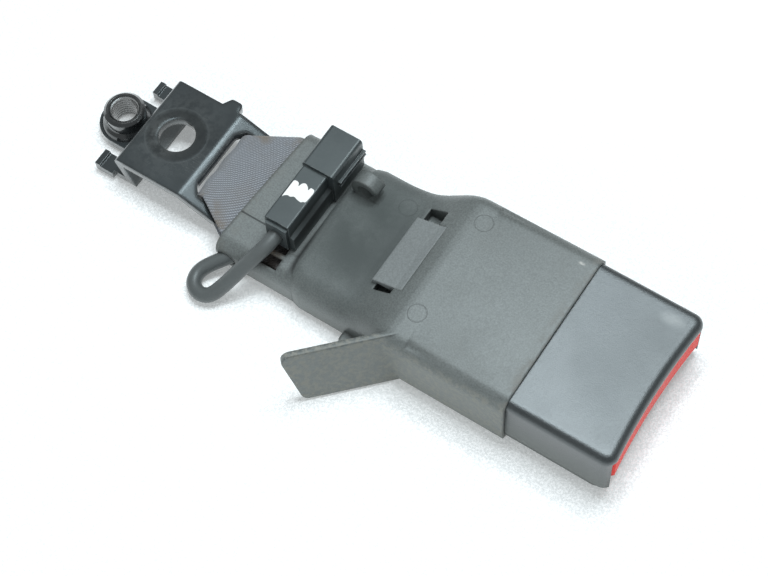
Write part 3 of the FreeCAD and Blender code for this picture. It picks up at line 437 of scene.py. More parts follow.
GRAIN = group("moulded_grain", [("Place", VECTOR, None), ("Scale", FLOAT, 3000.0)],
              [("Height", FLOAT)], fill_grain)
DUST = group("settled_dust", [("Place", VECTOR, None), ("Amount", FLOAT, 1.0)],
             [("Mask", FLOAT)], fill_dust)
EDGE_WEAR_AND_HIGHLIGHT = group("edge_wear_and_highlight", [("Place", VECTOR, None), ("Amount", FLOAT, 1.0),
                                ("Reach", FLOAT, 0.4 * MM)],
                  [("Mask", FLOAT), ("Normal", VECTOR)], fill_edge_wear_and_highlight)
RING = group("ring_mark", [("Place", VECTOR, None), ("Centre", VECTOR, None),
                           ("Radius", FLOAT, 3.0 * MM), ("Width", FLOAT, 0.2 * MM)],
             [("Line", FLOAT), ("Inside", FLOAT)], fill_ring)
SCRATCHES = group("fine_scratches", [("Place", VECTOR, None), ("Amount", FLOAT, 1.0)],
                  [("Mask", FLOAT)], fill_scratches)


def use(nodes: Nodes, tree: bpy.types.NodeTree, **values: object) -> bpy.types.bpy_prop_collection:
    """Place a node group.

    Args:
        nodes: the nodes that it joins.
        tree: the group.
        values: a socket or a plain value for each input, by name.

    Returns:
        Its outputs.
    """
    made = nodes.add("ShaderNodeGroup", node_tree=tree)
    for name, value in values.items():
        nodes.feed(made.inputs[name], value)
    return made.outputs


@dataclass
class Coat:
    """The state of a finish while it's built: place, colour, roughness and relief."""

    nodes: Nodes
    place: bpy.types.NodeSocket
    colour: object
    rough: object
    height: object = None

    def tint(self, mask: object, colour: Colour) -> None:
        """Mix a colour in by a mask."""
        self.colour = self.nodes.mix(mask, self.colour, solid(colour))

    def dull(self, mask: object, rough: float) -> None:
        """Bring the roughness to a value by a mask, as rough plus mask times the gap."""
        gap = self.nodes.math("SUBTRACT", rough, self.rough)
        self.rough = self.nodes.math("MULTIPLY_ADD", gap, mask, self.rough)

    def raise_by(self, amount: object) -> None:
        """Add to the relief, in metres."""
        self.height = amount if self.height is None else self.nodes.math("ADD", self.height, amount)

    def cloud(self, grain: float, rough: float, low: float, patchy: float) -> bpy.types.NodeSocket:
        """Noise that breaks a mask up.

        Args:
            grain: features to the metre.
            rough: how strong the finer layers are.
            low: the noise value where the mask is at its weakest.
            patchy: how far it breaks the mask up, from 0 to 1.

        Returns:
            The socket of a share from 1 - patchy to 1.
        """
        return self.nodes.span(self.nodes.noise(self.place, grain, 4.0, rough), low, 0.62,
                               1.0 - patchy, 1.0)


@dataclass(frozen=True)
class Finish:
    """A moulded, painted or metal finish with grain, dust, worn edges with painted edge highlights,
    and scratches.
    """

    name: str
    colour: Colour
    rough: float = 0.5
    metal: float = 0.0
    mirror: float = 0.5           # strength of the plain reflection
    mirror_tint: Colour = (0.93, 1.0, 1.0)
    shade: float = 0.12           # how much the colour drifts over the piece
    grain_scale: float = 3000.0
    grain_depth: float = 0.02     # millimetres
    dust: float = 0.0
    dust_colour: Colour = (0.30, 0.29, 0.26)
    wear_and_highlight: float = 0.0
    wear_and_highlight_colour: Colour = (0.40, 0.40, 0.40)
    scratch: float = 0.0
    coat: float = 0.0
    coat_rough: float = 0.08
    waves: float = 0.0            # millimetres of slow unevenness
    reach: float = 0.4            # millimetres over which edges look rounded
    soften: float = 0.0           # wider rounding of a soft or pressed piece, millimetres
    soften_from: float = -200.0   # station in X, in millimetres, where that rounding begins
    soften_over: float = 2.0      # millimetres over which it grows to its full width
    speckle: float = 0.0          # share by which the colour sparkles from grain to grain
    marks: tuple[Callable[[Coat], None], ...] = ()

    def make(self) -> bpy.types.Material:
        """Build the material.

        Returns:
            The finish as a material.
        """
        material, nodes, shader, _ = blank_material(self.name)
        state = self.base(nodes)
        normal = self.age(state)
        for mark in self.marks:
            mark(state)
        if self.soften:
            normal = self.soft_normal(state)
        self.set_shader(state, shader, normal)
        return material

    def base(self, nodes: Nodes) -> Coat:
        """Colour and roughness that drift slowly over the piece.

        Args:
            nodes: the material's nodes.

        Returns:
            The finish's first state.
        """
        place = nodes.place()
        drift = nodes.span(nodes.noise(place, 38.0, 3.0, 0.55), 0.3, 0.7)
        dark = solid(tuple(part * (1.0 - self.shade) for part in self.colour))
        light = solid(tuple(min(1.0, part * (1.0 + self.shade)) for part in self.colour))
        rough = nodes.math("MULTIPLY_ADD", drift, self.rough * 0.16, self.rough * 0.92)
        colour = nodes.mix(drift, dark, light)
        if self.speckle:
            grains = nodes.span(nodes.noise(place, self.grain_scale * 0.8, 2.0, 0.7), 0.3, 0.7,
                                1.0 - self.speckle, 1.0 + self.speckle)
            colour = nodes.vector("SCALE", colour, grains)
        return Coat(nodes, place, colour, rough)

    def age(self, state: Coat) -> bpy.types.NodeSocket:
        """Add dust, scratches, worn edges with painted edge highlights, grain and unevenness.

        Args:
            state: the finish so far, which is changed.

        Returns:
            The socket of a normal that rounds the edges.
        """
        nodes, place = state.nodes, state.place
        if self.dust:
            dust = use(nodes, DUST, Place=place, Amount=self.dust)[0]
            state.tint(dust, self.dust_colour)
            state.dull(dust, 0.9)
        if self.scratch:
            scratch = use(nodes, SCRATCHES, Place=place, Amount=self.scratch)[0]
            state.tint(scratch, self.wear_and_highlight_colour)
        edge = use(nodes, EDGE_WEAR_AND_HIGHLIGHT, Place=place, Amount=self.wear_and_highlight, Reach=self.reach * MM)
        if self.wear_and_highlight:
            state.tint(edge["Mask"], self.wear_and_highlight_colour)
        grain = use(nodes, GRAIN, Place=place, Scale=self.grain_scale)[0]
        state.raise_by(nodes.times(grain, self.grain_depth * MM))
        if self.waves:
            state.raise_by(nodes.times(nodes.noise(place, 90.0, 2.0), self.waves * MM))
        return edge["Normal"]

    def soft_normal(self, state: Coat) -> bpy.types.NodeSocket:
        """A normal that rounds the edges more widely from a station on.

        Args:
            state: the finish so far.

        Returns:
            The normal's socket.
        """
        nodes = state.nodes
        wide = nodes.add("ShaderNodeBevel", samples=12)
        begins = self.soften_from * MM
        station = nodes.split(state.place)[Axis.X.value]
        nodes.link(nodes.span(station, begins, begins + self.soften_over * MM, self.reach * MM,
                              self.soften * MM), wide.inputs["Radius"])
        return wide.outputs[0]

    def set_shader(self, state: Coat, shader: bpy.types.Node,
                   normal: bpy.types.NodeSocket) -> None:
        """Set the shader's own values and link what varies.

        Args:
            state: the finished state.
            shader: the material's shader.
            normal: the rounded normal that the relief is added to.
        """
        nodes = state.nodes
        nodes.feed(shader.inputs["Base Color"], state.colour)
        nodes.feed(shader.inputs["Roughness"], state.rough)
        shader.inputs["Metallic"].default_value = self.metal
        shader.inputs["Specular IOR Level"].default_value = self.mirror
        shader.inputs["Specular Tint"].default_value = solid(self.mirror_tint)
        shader.inputs["Coat Weight"].default_value = self.coat
        shader.inputs["Coat Roughness"].default_value = self.coat_rough
        nodes.link(nodes.bump(state.height, 1.0, 1.0, normal), shader.inputs["Normal"])


@dataclass(frozen=True)
class RingMarks:
    """Faint round ejector marks."""

    centres: tuple[tuple[float, float], ...]
    radius: float = 3.0
    width: float = 0.26
    depth: float = 0.05
    colour: Colour = (0.055, 0.058, 0.056)
    strength: float = 0.5

    def __call__(self, state: Coat) -> None:
        """Draw each ring as a shallow groove with a darker line.

        Args:
            state: the finish so far, which is changed.
        """
        for x, y in self.centres:
            ring = use(state.nodes, RING, Place=state.place, Centre=point(x, y),
                       Radius=self.radius * MM, Width=self.width * MM)
            state.tint(state.nodes.times(ring["Line"], self.strength), self.colour)
            state.raise_by(state.nodes.times(ring["Line"], -self.depth * MM))


@dataclass(frozen=True)
class StainAndPaintedLightPatch:
    """A soft patch round a place, for stains and for painted light and shade: distance within a
    reach, broken up by noise.
    """

    centre: Place
    reach: Place
    colour: Colour
    strength: float = 0.6
    rough: float = 0.8
    grain: float = 300.0
    patchy: float = 1.0           # how far the noise breaks the stain up

    def __call__(self, state: Coat) -> None:
        """Mix the patch in; its share falls with the length of (place - centre) / reach.

        Args:
            state: the finish so far, which is changed.
        """
        nodes = state.nodes
        away = nodes.vector("SUBTRACT", state.place, point(*self.centre))
        share = nodes.vector("DIVIDE", away, tuple(part * MM for part in self.reach))
        near = nodes.span(nodes.vector("LENGTH", share), 0.2, 1.0, 1.0, 0.0)
        mask = nodes.times(near, state.cloud(self.grain, 0.65, 0.35, self.patchy), self.strength)
        state.tint(mask, self.colour)
        state.dull(mask, self.rough)


@dataclass(frozen=True)
class BandWearAndPaintedLight:
    """A tint between two levels of one coordinate, in millimetres: rubbing, and painted light in
    some uses.
    """

    axis: Axis
    full: float
    none: float
    colour: Colour
    strength: float = 0.5
    grain: float = 260.0
    patchy: float = 1.0           # how far the noise breaks the tint up

    def __call__(self, state: Coat) -> None:
        """Mix the tint in where the coordinate nears its full level.

        Args:
            state: the finish so far, which is changed.
        """
        nodes = state.nodes
        lift = SURFACE if self.axis is Axis.HEIGHT else 0.0
        full, none = self.full * MM + lift, self.none * MM + lift
        value = nodes.split(state.place)[self.axis.value]
        band = (nodes.span(value, full, none, 1.0, 0.0) if full < none
                else nodes.span(value, none, full, 0.0, 1.0))
        mask = nodes.times(band, state.cloud(self.grain, 0.7, 0.42, self.patchy), self.strength)
        state.tint(mask, self.colour)
        state.dull(mask, 0.8)


@dataclass(frozen=True)
class PressedRing:
    """Broad darker ring that a washer has pressed into the paint."""

    centre: tuple[float, float]
    radius: float
    width: float
    colour: Colour
    strength: float = 0.7
    rough: float = 0.16           # the pressed paint is smoother

    def __call__(self, state: Coat) -> None:
        """Darken where the distance from the axis is close to the ring's middle radius.

        Args:
            state: the finish so far, which is changed.
        """
        ring = use(state.nodes, RING, Place=state.place, Centre=point(*self.centre),
                   Radius=self.radius * MM, Width=self.width * MM)
        mask = state.nodes.times(ring["Line"], self.strength)
        state.tint(mask, self.colour)
        state.dull(mask, self.rough)


@dataclass(frozen=True)
class SeamLine:
    """Thin dark step line that runs along X at one Y."""

    start: float
    end: float
    level: float
    width: float = 0.34
    strength: float = 0.85
    depth: float = 0.2
    colour: Colour = (0.008, 0.008, 0.008)

    def __call__(self, state: Coat) -> None:
        """Dark where Y is close to the level, between the two stations in X.

        Args:
            state: the finish so far, which is changed.
        """
        nodes = state.nodes
        x, y, _ = nodes.split(state.place)
        off = nodes.math("ABSOLUTE", nodes.math("SUBTRACT", y, self.level * MM))
        line = nodes.span(off, self.width * 0.3 * MM, self.width * MM, 1.0, 0.0)
        inside = nodes.times(nodes.math("GREATER_THAN", x, self.start * MM),
                             nodes.math("LESS_THAN", x, self.end * MM))
        mask = nodes.times(line, inside, self.strength)
        state.tint(mask, self.colour)
        state.raise_by(nodes.times(mask, -self.depth * MM))


@dataclass(frozen=True)
class Thread:
    """Screw thread in a bore: a relief that climbs with the turn, inside a radius, with painted
    glints on its crests.
    """

    centre: tuple[float, float]
    radius: float
    pitch: float
    depth: float = 0.35
    colour: Colour = (0.55, 0.55, 0.53)
    strength: float = 0.4

    def __call__(self, state: Coat) -> None:
        """Height follows sin of (level / pitch + angle / one turn).

        Args:
            state: the finish so far, which is changed.
        """
        nodes = state.nodes
        ring = use(nodes, RING, Place=state.place, Centre=point(*self.centre),
                   Radius=self.radius * MM, Width=0.1 * MM)
        x, y, z = nodes.split(state.place)
        across = nodes.math("SUBTRACT", y, self.centre[1] * MM)
        along = nodes.math("SUBTRACT", x, self.centre[0] * MM)
        angle = nodes.math("ARCTAN2", across, along)
        phase = nodes.math("ADD", nodes.times(z, 2.0 * math.pi / (self.pitch * MM)), angle)
        wave = nodes.math("MULTIPLY_ADD", nodes.math("SINE", phase), 0.5, 0.5)
        inside = nodes.times(ring["Inside"], wave)
        # painted highlight: the crests are tinted lighter as glints
        state.tint(nodes.times(inside, self.strength), self.colour)
        state.raise_by(nodes.times(inside, self.depth * MM))


BROWN = (0.13, 0.085, 0.055)

HEAD_BLACK = Finish(
    "head_black", grey(0.020, (0.84, 1.0, 1.08)), rough=0.35, mirror=1.0,
    mirror_tint=(0.92, 1.0, 1.02), grain_scale=3000.0, grain_depth=0.054, speckle=0.4,
    dust=0.03, scratch=0.15, shade=0.10, wear_and_highlight=0.08, wear_and_highlight_colour=(0.20, 0.21, 0.21),
    reach=0.3, soften=2.4, marks=(
        # painted highlight: a pale patch on the top's far corner at the button end
        StainAndPaintedLightPatch((170.0, 22.0, 23.4), (6.0, 3.2, 9.0), (0.34, 0.35, 0.34), 0.60, 0.35, 160.0, 0.5),
        # painted shade: the top darker and rougher towards the button end
        StainAndPaintedLightPatch((170.0, 4.0, 24.0), (26.0, 30.0, 12.0), (0.016, 0.020, 0.020), 0.85, 0.44, 40.0,
               0.35),
        # painted light: the side lighter towards the bottom, as the floor's bounce would light it
        BandWearAndPaintedLight(Axis.HEIGHT, 4.0, 18.0, (0.190, 0.200, 0.188), 0.80, 500.0, 0.3)))
BUTTON_RED = Finish(
    "button_red", (0.93, 0.034, 0.020), rough=0.46, mirror=0.12, grain_scale=4200.0,
    grain_depth=0.003, shade=0.05, reach=0.4, wear_and_highlight=0.25, wear_and_highlight_colour=(0.90, 0.20, 0.15))
BOOT_GREY = Finish(
    "boot_grey", grey(0.122, (0.90, 1.0, 0.97)), rough=0.46, mirror=0.85, grain_scale=2300.0,
    grain_depth=0.042, speckle=0.24, dust=0.22, dust_colour=(0.20, 0.205, 0.195), shade=0.08,
    wear_and_highlight=0.35, wear_and_highlight_colour=(0.22, 0.215, 0.20), waves=0.05, scratch=0.25, reach=0.6,
    soften=1.5, marks=(
        RingMarks(((104.7, 20.1), (104.0, -16.9), (79.3, 15.8))),
        BandWearAndPaintedLight(Axis.X, 142.5, 138.0, (0.21, 0.20, 0.18), 0.5),
        BandWearAndPaintedLight(Axis.HEIGHT, 0.0, 4.5, (0.17, 0.155, 0.13), 0.6),
        BandWearAndPaintedLight(Axis.X, 33.0, 40.0, (0.15, 0.14, 0.12), 0.35),
        StainAndPaintedLightPatch((137.5, 23.7, 24.3), (1.6, 0.7, 6.0), (0.55, 0.55, 0.52), 0.9),
        # painted shade: the neck and the foot of the slope darker and rougher
        StainAndPaintedLightPatch((74.0, 1.0, 17.0), (26.0, 40.0, 11.0), (0.040, 0.049, 0.047), 0.95, 0.78, 45.0,
               0.30),
        StainAndPaintedLightPatch((81.0, -4.0, 16.5), (7.0, 26.0, 8.0), (0.038, 0.045, 0.044), 0.7, 0.70, 60.0, 0.3),
        # painted shadow: a dark band along the neck's rear wall
        StainAndPaintedLightPatch((59.2, -14.0, 14.4), (2.2, 17.0, 5.0), (0.014, 0.014, 0.014), 0.9, 0.8, 300.0,
               0.2),
        BandWearAndPaintedLight(Axis.Y, -30.0, -28.2, (0.255, 0.255, 0.225), 0.9, 600.0),
        SeamLine(34.0, 45.5, -11.8),
        StainAndPaintedLightPatch((50.5, -18.0, 11.0), (6.0, 7.0, 6.0), BROWN, 0.9)))
BRIDGE_GREY = Finish(
    "bridge_grey", grey(0.205, (0.92, 1.0, 1.0)), rough=0.58, grain_scale=1900.0,
    grain_depth=0.014, dust=0.25, dust_colour=(0.20, 0.20, 0.188), shade=0.06, wear_and_highlight=0.35,
    wear_and_highlight_colour=(0.24, 0.235, 0.22), waves=0.03, reach=0.6, soften=0.9, speckle=0.12)
GLOSS_BLACK = Finish(
    "bracket_black", grey(0.030, (0.84, 1.0, 1.06)), rough=0.24, soften=2.0, soften_from=-11.0,
    mirror_tint=(0.86, 1.0, 1.04), grain_scale=1200.0, grain_depth=0.0004, dust=0.02,
    dust_colour=(0.12, 0.125, 0.12), wear_and_highlight=0.45, wear_and_highlight_colour=(0.42, 0.42, 0.40), scratch=0.15,
    coat=0.6, shade=0.30, waves=0.03, reach=0.4, marks=(
        StainAndPaintedLightPatch((-1.0, 0.0, 13.1), (22.0, 26.0, 5.0), (0.070, 0.075, 0.074), 0.45, 0.34, 420.0),
        RingMarks(((0.0, 0.0),), radius=10.4, width=0.45, depth=0.02,
                  colour=(0.075, 0.08, 0.08), strength=0.25),
        PressedRing((0.0, 0.0), 8.0, 2.6, (0.008, 0.009, 0.009), 0.65),
        StainAndPaintedLightPatch((-3.0, -2.0, 13.1), (11.0, 11.0, 9.0), (0.10, 0.10, 0.095), 0.35)))
NUT_BLACK = Finish(
    "nut_black", grey(0.016, (0.92, 1.0, 1.06)), rough=0.20, grain_scale=1500.0,
    grain_depth=0.002, dust=0.06, dust_colour=(0.12, 0.12, 0.11), wear_and_highlight=0.45,
    wear_and_highlight_colour=(0.40, 0.40, 0.38), coat=0.9, reach=0.5,
    marks=(Thread((-22.0, 0.0), 4.9, 1.25),))
# its edge wear is partly rubbing and partly painted highlights along the plug's edges
CONNECTOR_BLACK = Finish(
    "connector_black", grey(0.038, (0.80, 1.0, 1.06)), rough=0.36, mirror=0.68,
    mirror_tint=(0.90, 1.0, 1.0), grain_scale=2600.0, grain_depth=0.006, dust=0.08,
    dust_colour=(0.16, 0.16, 0.15), wear_and_highlight=0.9, wear_and_highlight_colour=(0.34, 0.37, 0.37), shade=0.08,
    reach=0.3, marks=(
        # painted shade: a near-black band on the plug at X 56 mm, 19 mm up
        StainAndPaintedLightPatch((56.4, -4.0, 19.0), (5.0, 20.0, 6.0), (0.004, 0.005, 0.005), 0.95, 0.85, 60.0,
               0.1),))
PAINT_DAB = Finish("paint_dab", (0.86, 0.86, 0.84), rough=0.45, grain_scale=1400.0,
                   grain_depth=0.02, shade=0.03, reach=0.1)
ZINC = Finish("zinc_plated_steel", (0.60, 0.58, 0.50), rough=0.34, metal=1.0,
              grain_scale=1800.0, grain_depth=0.006, scratch=0.3,
              wear_and_highlight_colour=(0.75, 0.74, 0.70), shade=0.10)
SPRING = Finish("spring_steel", (0.50, 0.50, 0.50), rough=0.30, metal=1.0, grain_scale=3000.0,
                grain_depth=0.003)
BLADE = Finish("tinned_blade", (0.66, 0.64, 0.58), rough=0.28, metal=1.0, grain_scale=3000.0,
               grain_depth=0.003)
NATURAL = Finish("natural_acetal", (0.70, 0.68, 0.62), rough=0.45, grain_scale=3000.0,
                 grain_depth=0.006)
NICKEL = Finish("nickel_plate", (0.55, 0.54, 0.52), rough=0.25, metal=1.0, grain_depth=0.002)
JACKET = Finish("cable_jacket", grey(0.100, (0.90, 1.0, 1.0)), rough=0.40, grain_scale=1500.0,
                grain_depth=0.008, dust=0.14, dust_colour=(0.18, 0.18, 0.17), waves=0.08)

CAD_FINISHES: dict[str, Finish] = {
    "buckle_upper_cover": HEAD_BLACK, "buckle_lower_cover": HEAD_BLACK,
    "release_button": BUTTON_RED, "boot": BOOT_GREY, "boot_bridge": BRIDGE_GREY,
    "anchor_bracket": GLOSS_BLACK, "anchor_nut": NUT_BLACK, "connector_housing": CONNECTOR_BLACK,
    "connector_rear_holder": CONNECTOR_BLACK, "buckle_switch": CONNECTOR_BLACK,
    "connector_terminals": BLADE, "buckle_frame": ZINC, "latch_pin": ZINC, "latch_plate": ZINC,
    "lock_slider": ZINC, "button_springs": SPRING, "latch_spring": SPRING,
    "ejector_spring": SPRING, "ejector": NATURAL, "spring_stop": NATURAL,
    "ejector_magnet": NICKEL, "webbing": JACKET, "switch_cable": JACKET,
}


@dataclass(frozen=True)
class Weave:
    """Woven belt: twill ribs from the strap's own lengths, with stains, and painted shade where it
    runs into the boot's mouth.

    The map holds millimetres along the strap in U and across it in V. Warp ribs follow
    the size of sin of V, and the twill steps follow sin of U plus a share of V.
    """

    name: str = "webbing_weave"
    rib: float = 0.80             # millimetres from one warp rib to the next
    step: float = 0.95            # millimetres from one twill step to the next
    lean: float = 0.70            # share of V that is added to U
    dark: Colour = (0.135, 0.146, 0.158)
    light: Colour = (0.380, 0.404, 0.440)
    stain: Colour = (0.19, 0.162, 0.130)
    stained_from: tuple[float, float] = (14.0, 22.0)   # V where the edge's stain grows
    mouth_shade: Colour = (0.035, 0.028, 0.023)
    mouth_shade_from: tuple[float, float] = (43.0, 45.5)     # X where the painted shade inside the boot's mouth grows
    rough: float = 0.78
    sheen: float = 0.25
    sheen_rough: float = 0.5
    fuzz: float = 0.06            # millimetres
    relief: float = 0.16          # millimetres

    def yarn(self, nodes: Nodes, along: object, across: object) -> bpy.types.NodeSocket:
        """Height of the yarn: a rib's height to the power 0.6, times a twill step's.

        Args:
            nodes: the material's nodes.
            along: U of the map.
            across: V of the map.

        Returns:
            The height's socket, from 0 to 1.
        """
        ribs = nodes.math("SINE", nodes.times(across, math.pi / self.rib))
        leaning = nodes.math("MULTIPLY_ADD", across, self.lean, along)
        steps = nodes.math("SINE", nodes.times(leaning, 2.0 * math.pi / self.step))
        twill = nodes.math("MULTIPLY_ADD", steps, 0.5, 0.5)
        return nodes.times(nodes.math("POWER", nodes.math("ABSOLUTE", ribs), 0.6), twill)

    def stain_and_shade(self, nodes: Nodes, place: object, across: object, colour: object) -> object:
        """Stain the edges, and paint shade on the part inside the boot's mouth.

        Args:
            nodes: the material's nodes.
            place: object coordinates.
            across: V of the map.
            colour: the clean weave's colour.

        Returns:
            The stained colour with its painted shade, as a socket.
        """
        edge = nodes.span(nodes.math("ABSOLUTE", across), *self.stained_from)
        stain = nodes.span(nodes.noise(place, 95.0, 4.0, 0.6), 0.42, 0.66)
        dirt = nodes.times(nodes.math("MULTIPLY_ADD", edge, 0.75, 0.18), stain)
        colour = nodes.mix(dirt, colour, solid(self.stain))
        # painted shade: the strap darkens from X 43 to 45.5 mm, inside the boot's mouth
        begins, full = (level * MM for level in self.mouth_shade_from)
        station = nodes.split(place)[Axis.X.value]
        mouth_shade = nodes.times(nodes.span(station, begins, full, 0.0, 0.9),
                            nodes.span(nodes.noise(place, 500.0, 3.0, 0.6), 0.2, 0.5, 0.7, 1.0))
        return nodes.mix(mouth_shade, colour, solid(self.mouth_shade))

    def make(self) -> bpy.types.Material:
        """Build the material.

        Returns:
            The weave as a material.
        """
        material, nodes, shader, _ = blank_material(self.name)
        place = nodes.place()
        along, across, _ = nodes.split(nodes.add("ShaderNodeUVMap", uv_map=STRAP_MAP).outputs[0])
        yarn = self.yarn(nodes, along, across)
        # darker in the hollows between the yarns and lighter on their tops: painted shade of the
        # weave
        clean = nodes.mix(yarn, solid(self.dark), solid(self.light))
        nodes.link(self.stain_and_shade(nodes, place, across, clean), shader.inputs["Base Color"])
        for name, value in (("Roughness", self.rough), ("Sheen Weight", self.sheen),
                            ("Sheen Roughness", self.sheen_rough)):
            shader.inputs[name].default_value = value
        height = nodes.math("MULTIPLY_ADD", nodes.noise(place, 4200.0, 2.0), self.fuzz * MM,
                            nodes.times(yarn, self.relief * MM))
        nodes.link(nodes.bump(height, 1.0), shader.inputs["Normal"])
        return material


@dataclass(frozen=True)
class FloorWhite:
    """Pale floor with a faint speckle that glows a little to the camera and in gloss."""

    name: str = "floor_white"
    dark: Colour = (0.72, 0.74, 0.74)
    light: Colour = (0.97, 0.98, 0.98)
    speck: float = 1300.0         # specks to the metre
    relief: float = 0.0004        # metres
    rough: float = 0.7
    glow: float = 0.23            # keeps the floor white where the camera sees it
    mirrored_glow: float = 0.60   # and white in gloss, also beside the object
    glow_colour: Colour = (0.97, 1.0, 1.0)
    brighter: tuple[float, float] = (0.35, 1.60)   # metres away where the glow grows to 1

    def make(self) -> bpy.types.Material:
        """Build the material; the glow grows with the distance from the origin.

        Returns:
            The floor's material.
        """
        material, nodes, shader, out = blank_material(self.name)
        place = nodes.place()
        speck = nodes.noise(place, self.speck, 3.0, 0.70)
        colour = nodes.mix(nodes.span(speck, 0.42, 0.60), solid(self.dark), solid(self.light))
        nodes.link(colour, shader.inputs["Base Color"])
        shader.inputs["Roughness"].default_value = self.rough
        nodes.link(nodes.bump(speck, self.relief, 0.5), shader.inputs["Normal"])
        glow = nodes.add("ShaderNodeEmission")
        glow.inputs["Color"].default_value = solid(self.glow_colour)
        path = nodes.add("ShaderNodeLightPath").outputs
        shown = nodes.span(nodes.vector("LENGTH", place), *self.brighter, self.glow, 1.0)
        strength = nodes.math("ADD", nodes.times(path["Is Camera Ray"], shown),
                              nodes.times(nodes.mirrored(path), self.mirrored_glow))
        nodes.link(strength, glow.inputs["Strength"])
        both = nodes.add("ShaderNodeAddShader")
        nodes.link(shader.outputs[0], both.inputs[0])
        nodes.link(glow.outputs[0], both.inputs[1])
        nodes.link(both.outputs[0], out.inputs[0])
        return material


class Paintbox:
    """Makes each finish once and hands it out."""

    def __init__(self) -> None:
        """Start with no material made."""
        self.made: dict[str, bpy.types.Material] = {}

    def get(self, finish: Finish | Weave | FloorWhite) -> bpy.types.Material:
        """Hand out the material of a finish.

        Args:
            finish: the finish.

        Returns:
            Its material, made at the first call.
        """
        if finish.name not in self.made:
            self.made[finish.name] = finish.make()
        return self.made[finish.name]

    def dress_cad(self) -> None:
        """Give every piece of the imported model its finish."""
        for name, finish in CAD_FINISHES.items():
            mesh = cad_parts[name].data
            mesh.materials.clear()
            mesh.materials.append(self.get(finish))


def show(name: str, data: bpy.types.ID) -> bpy.types.Object:
    """Put an object into the scene.

    Args:
        name: the object's name.
        data: its mesh, curve, camera or lamp.

    Returns:
        The new object.
    """
    made = bpy.data.objects.new(name, data)
    bpy.context.scene.collection.objects.link(made)
    return made


def new_mesh(name: str, points: np.ndarray, faces: list[list[int]],
             material: bpy.types.Material, smooth: bool = True) -> bpy.types.Object:
    """Make a mesh object.

    Args:
        name: the piece's name.
        points: vertex places, one row each, in metres.
        faces: vertex indices of each face.
        material: the piece's finish.
        smooth: whether its faces are smooth shaded.

    Returns:
        The new object.
    """
    mesh = bpy.data.meshes.new(name)
    mesh.from_pydata(points.tolist(), [], faces)
    mesh.polygons.foreach_set("use_smooth", [smooth] * len(mesh.polygons))
    mesh.materials.append(material)
    mesh.update()
    return show(name, mesh)


@dataclass
class SwitchCable:
    """The cable from the connector down to the surface and back into the boot."""

    size: float = 5.0 * MM
    route: tuple[Place, ...] = (
        (51.0, -10.0, 19.8), (51.0, -19.2, 19.8), (48.4, -24.2, 16.6), (45.2, -29.2, 11.6),
        (42.0, -34.4, 6.4), (39.2, -38.6, 3.4), (35.2, -39.5, 2.8), (31.7, -37.3, 2.7),
        (30.8, -33.3, 3.0), (33.0, -29.2, 4.2), (38.0, -23.7, 6.0))

    def shape(self) -> bpy.types.Curve:
        """One open smooth spline with the route's points as its control points.

        Returns:
            The curve, round and closed at its ends.
        """
        curve = bpy.data.curves.new("cable", "CURVE")
        curve.dimensions = "3D"
        curve.bevel_depth = self.size / 2
        curve.bevel_resolution = 8
        curve.resolution_u = 16
        curve.use_fill_caps = True
        spline = curve.splines.new("NURBS")
        spline.points.add(len(self.route) - 1)
        for knot, place in zip(spline.points, self.route):
            knot.co = (*point(*place), 1.0)
        spline.order_u = 3
        spline.use_endpoint_u = True
        spline.use_smooth = True
        return curve

    def build(self, paint: Paintbox) -> bpy.types.Object:
        """Make the cable.

        Args:
            paint: hands out the finishes.

        Returns:
            The new object.
        """
        curve = self.shape()
        curve.materials.append(paint.get(JACKET))
        cable = show("cable", curve)
        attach(cable, BUCKLE)
        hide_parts("switch_cable")
        return cable


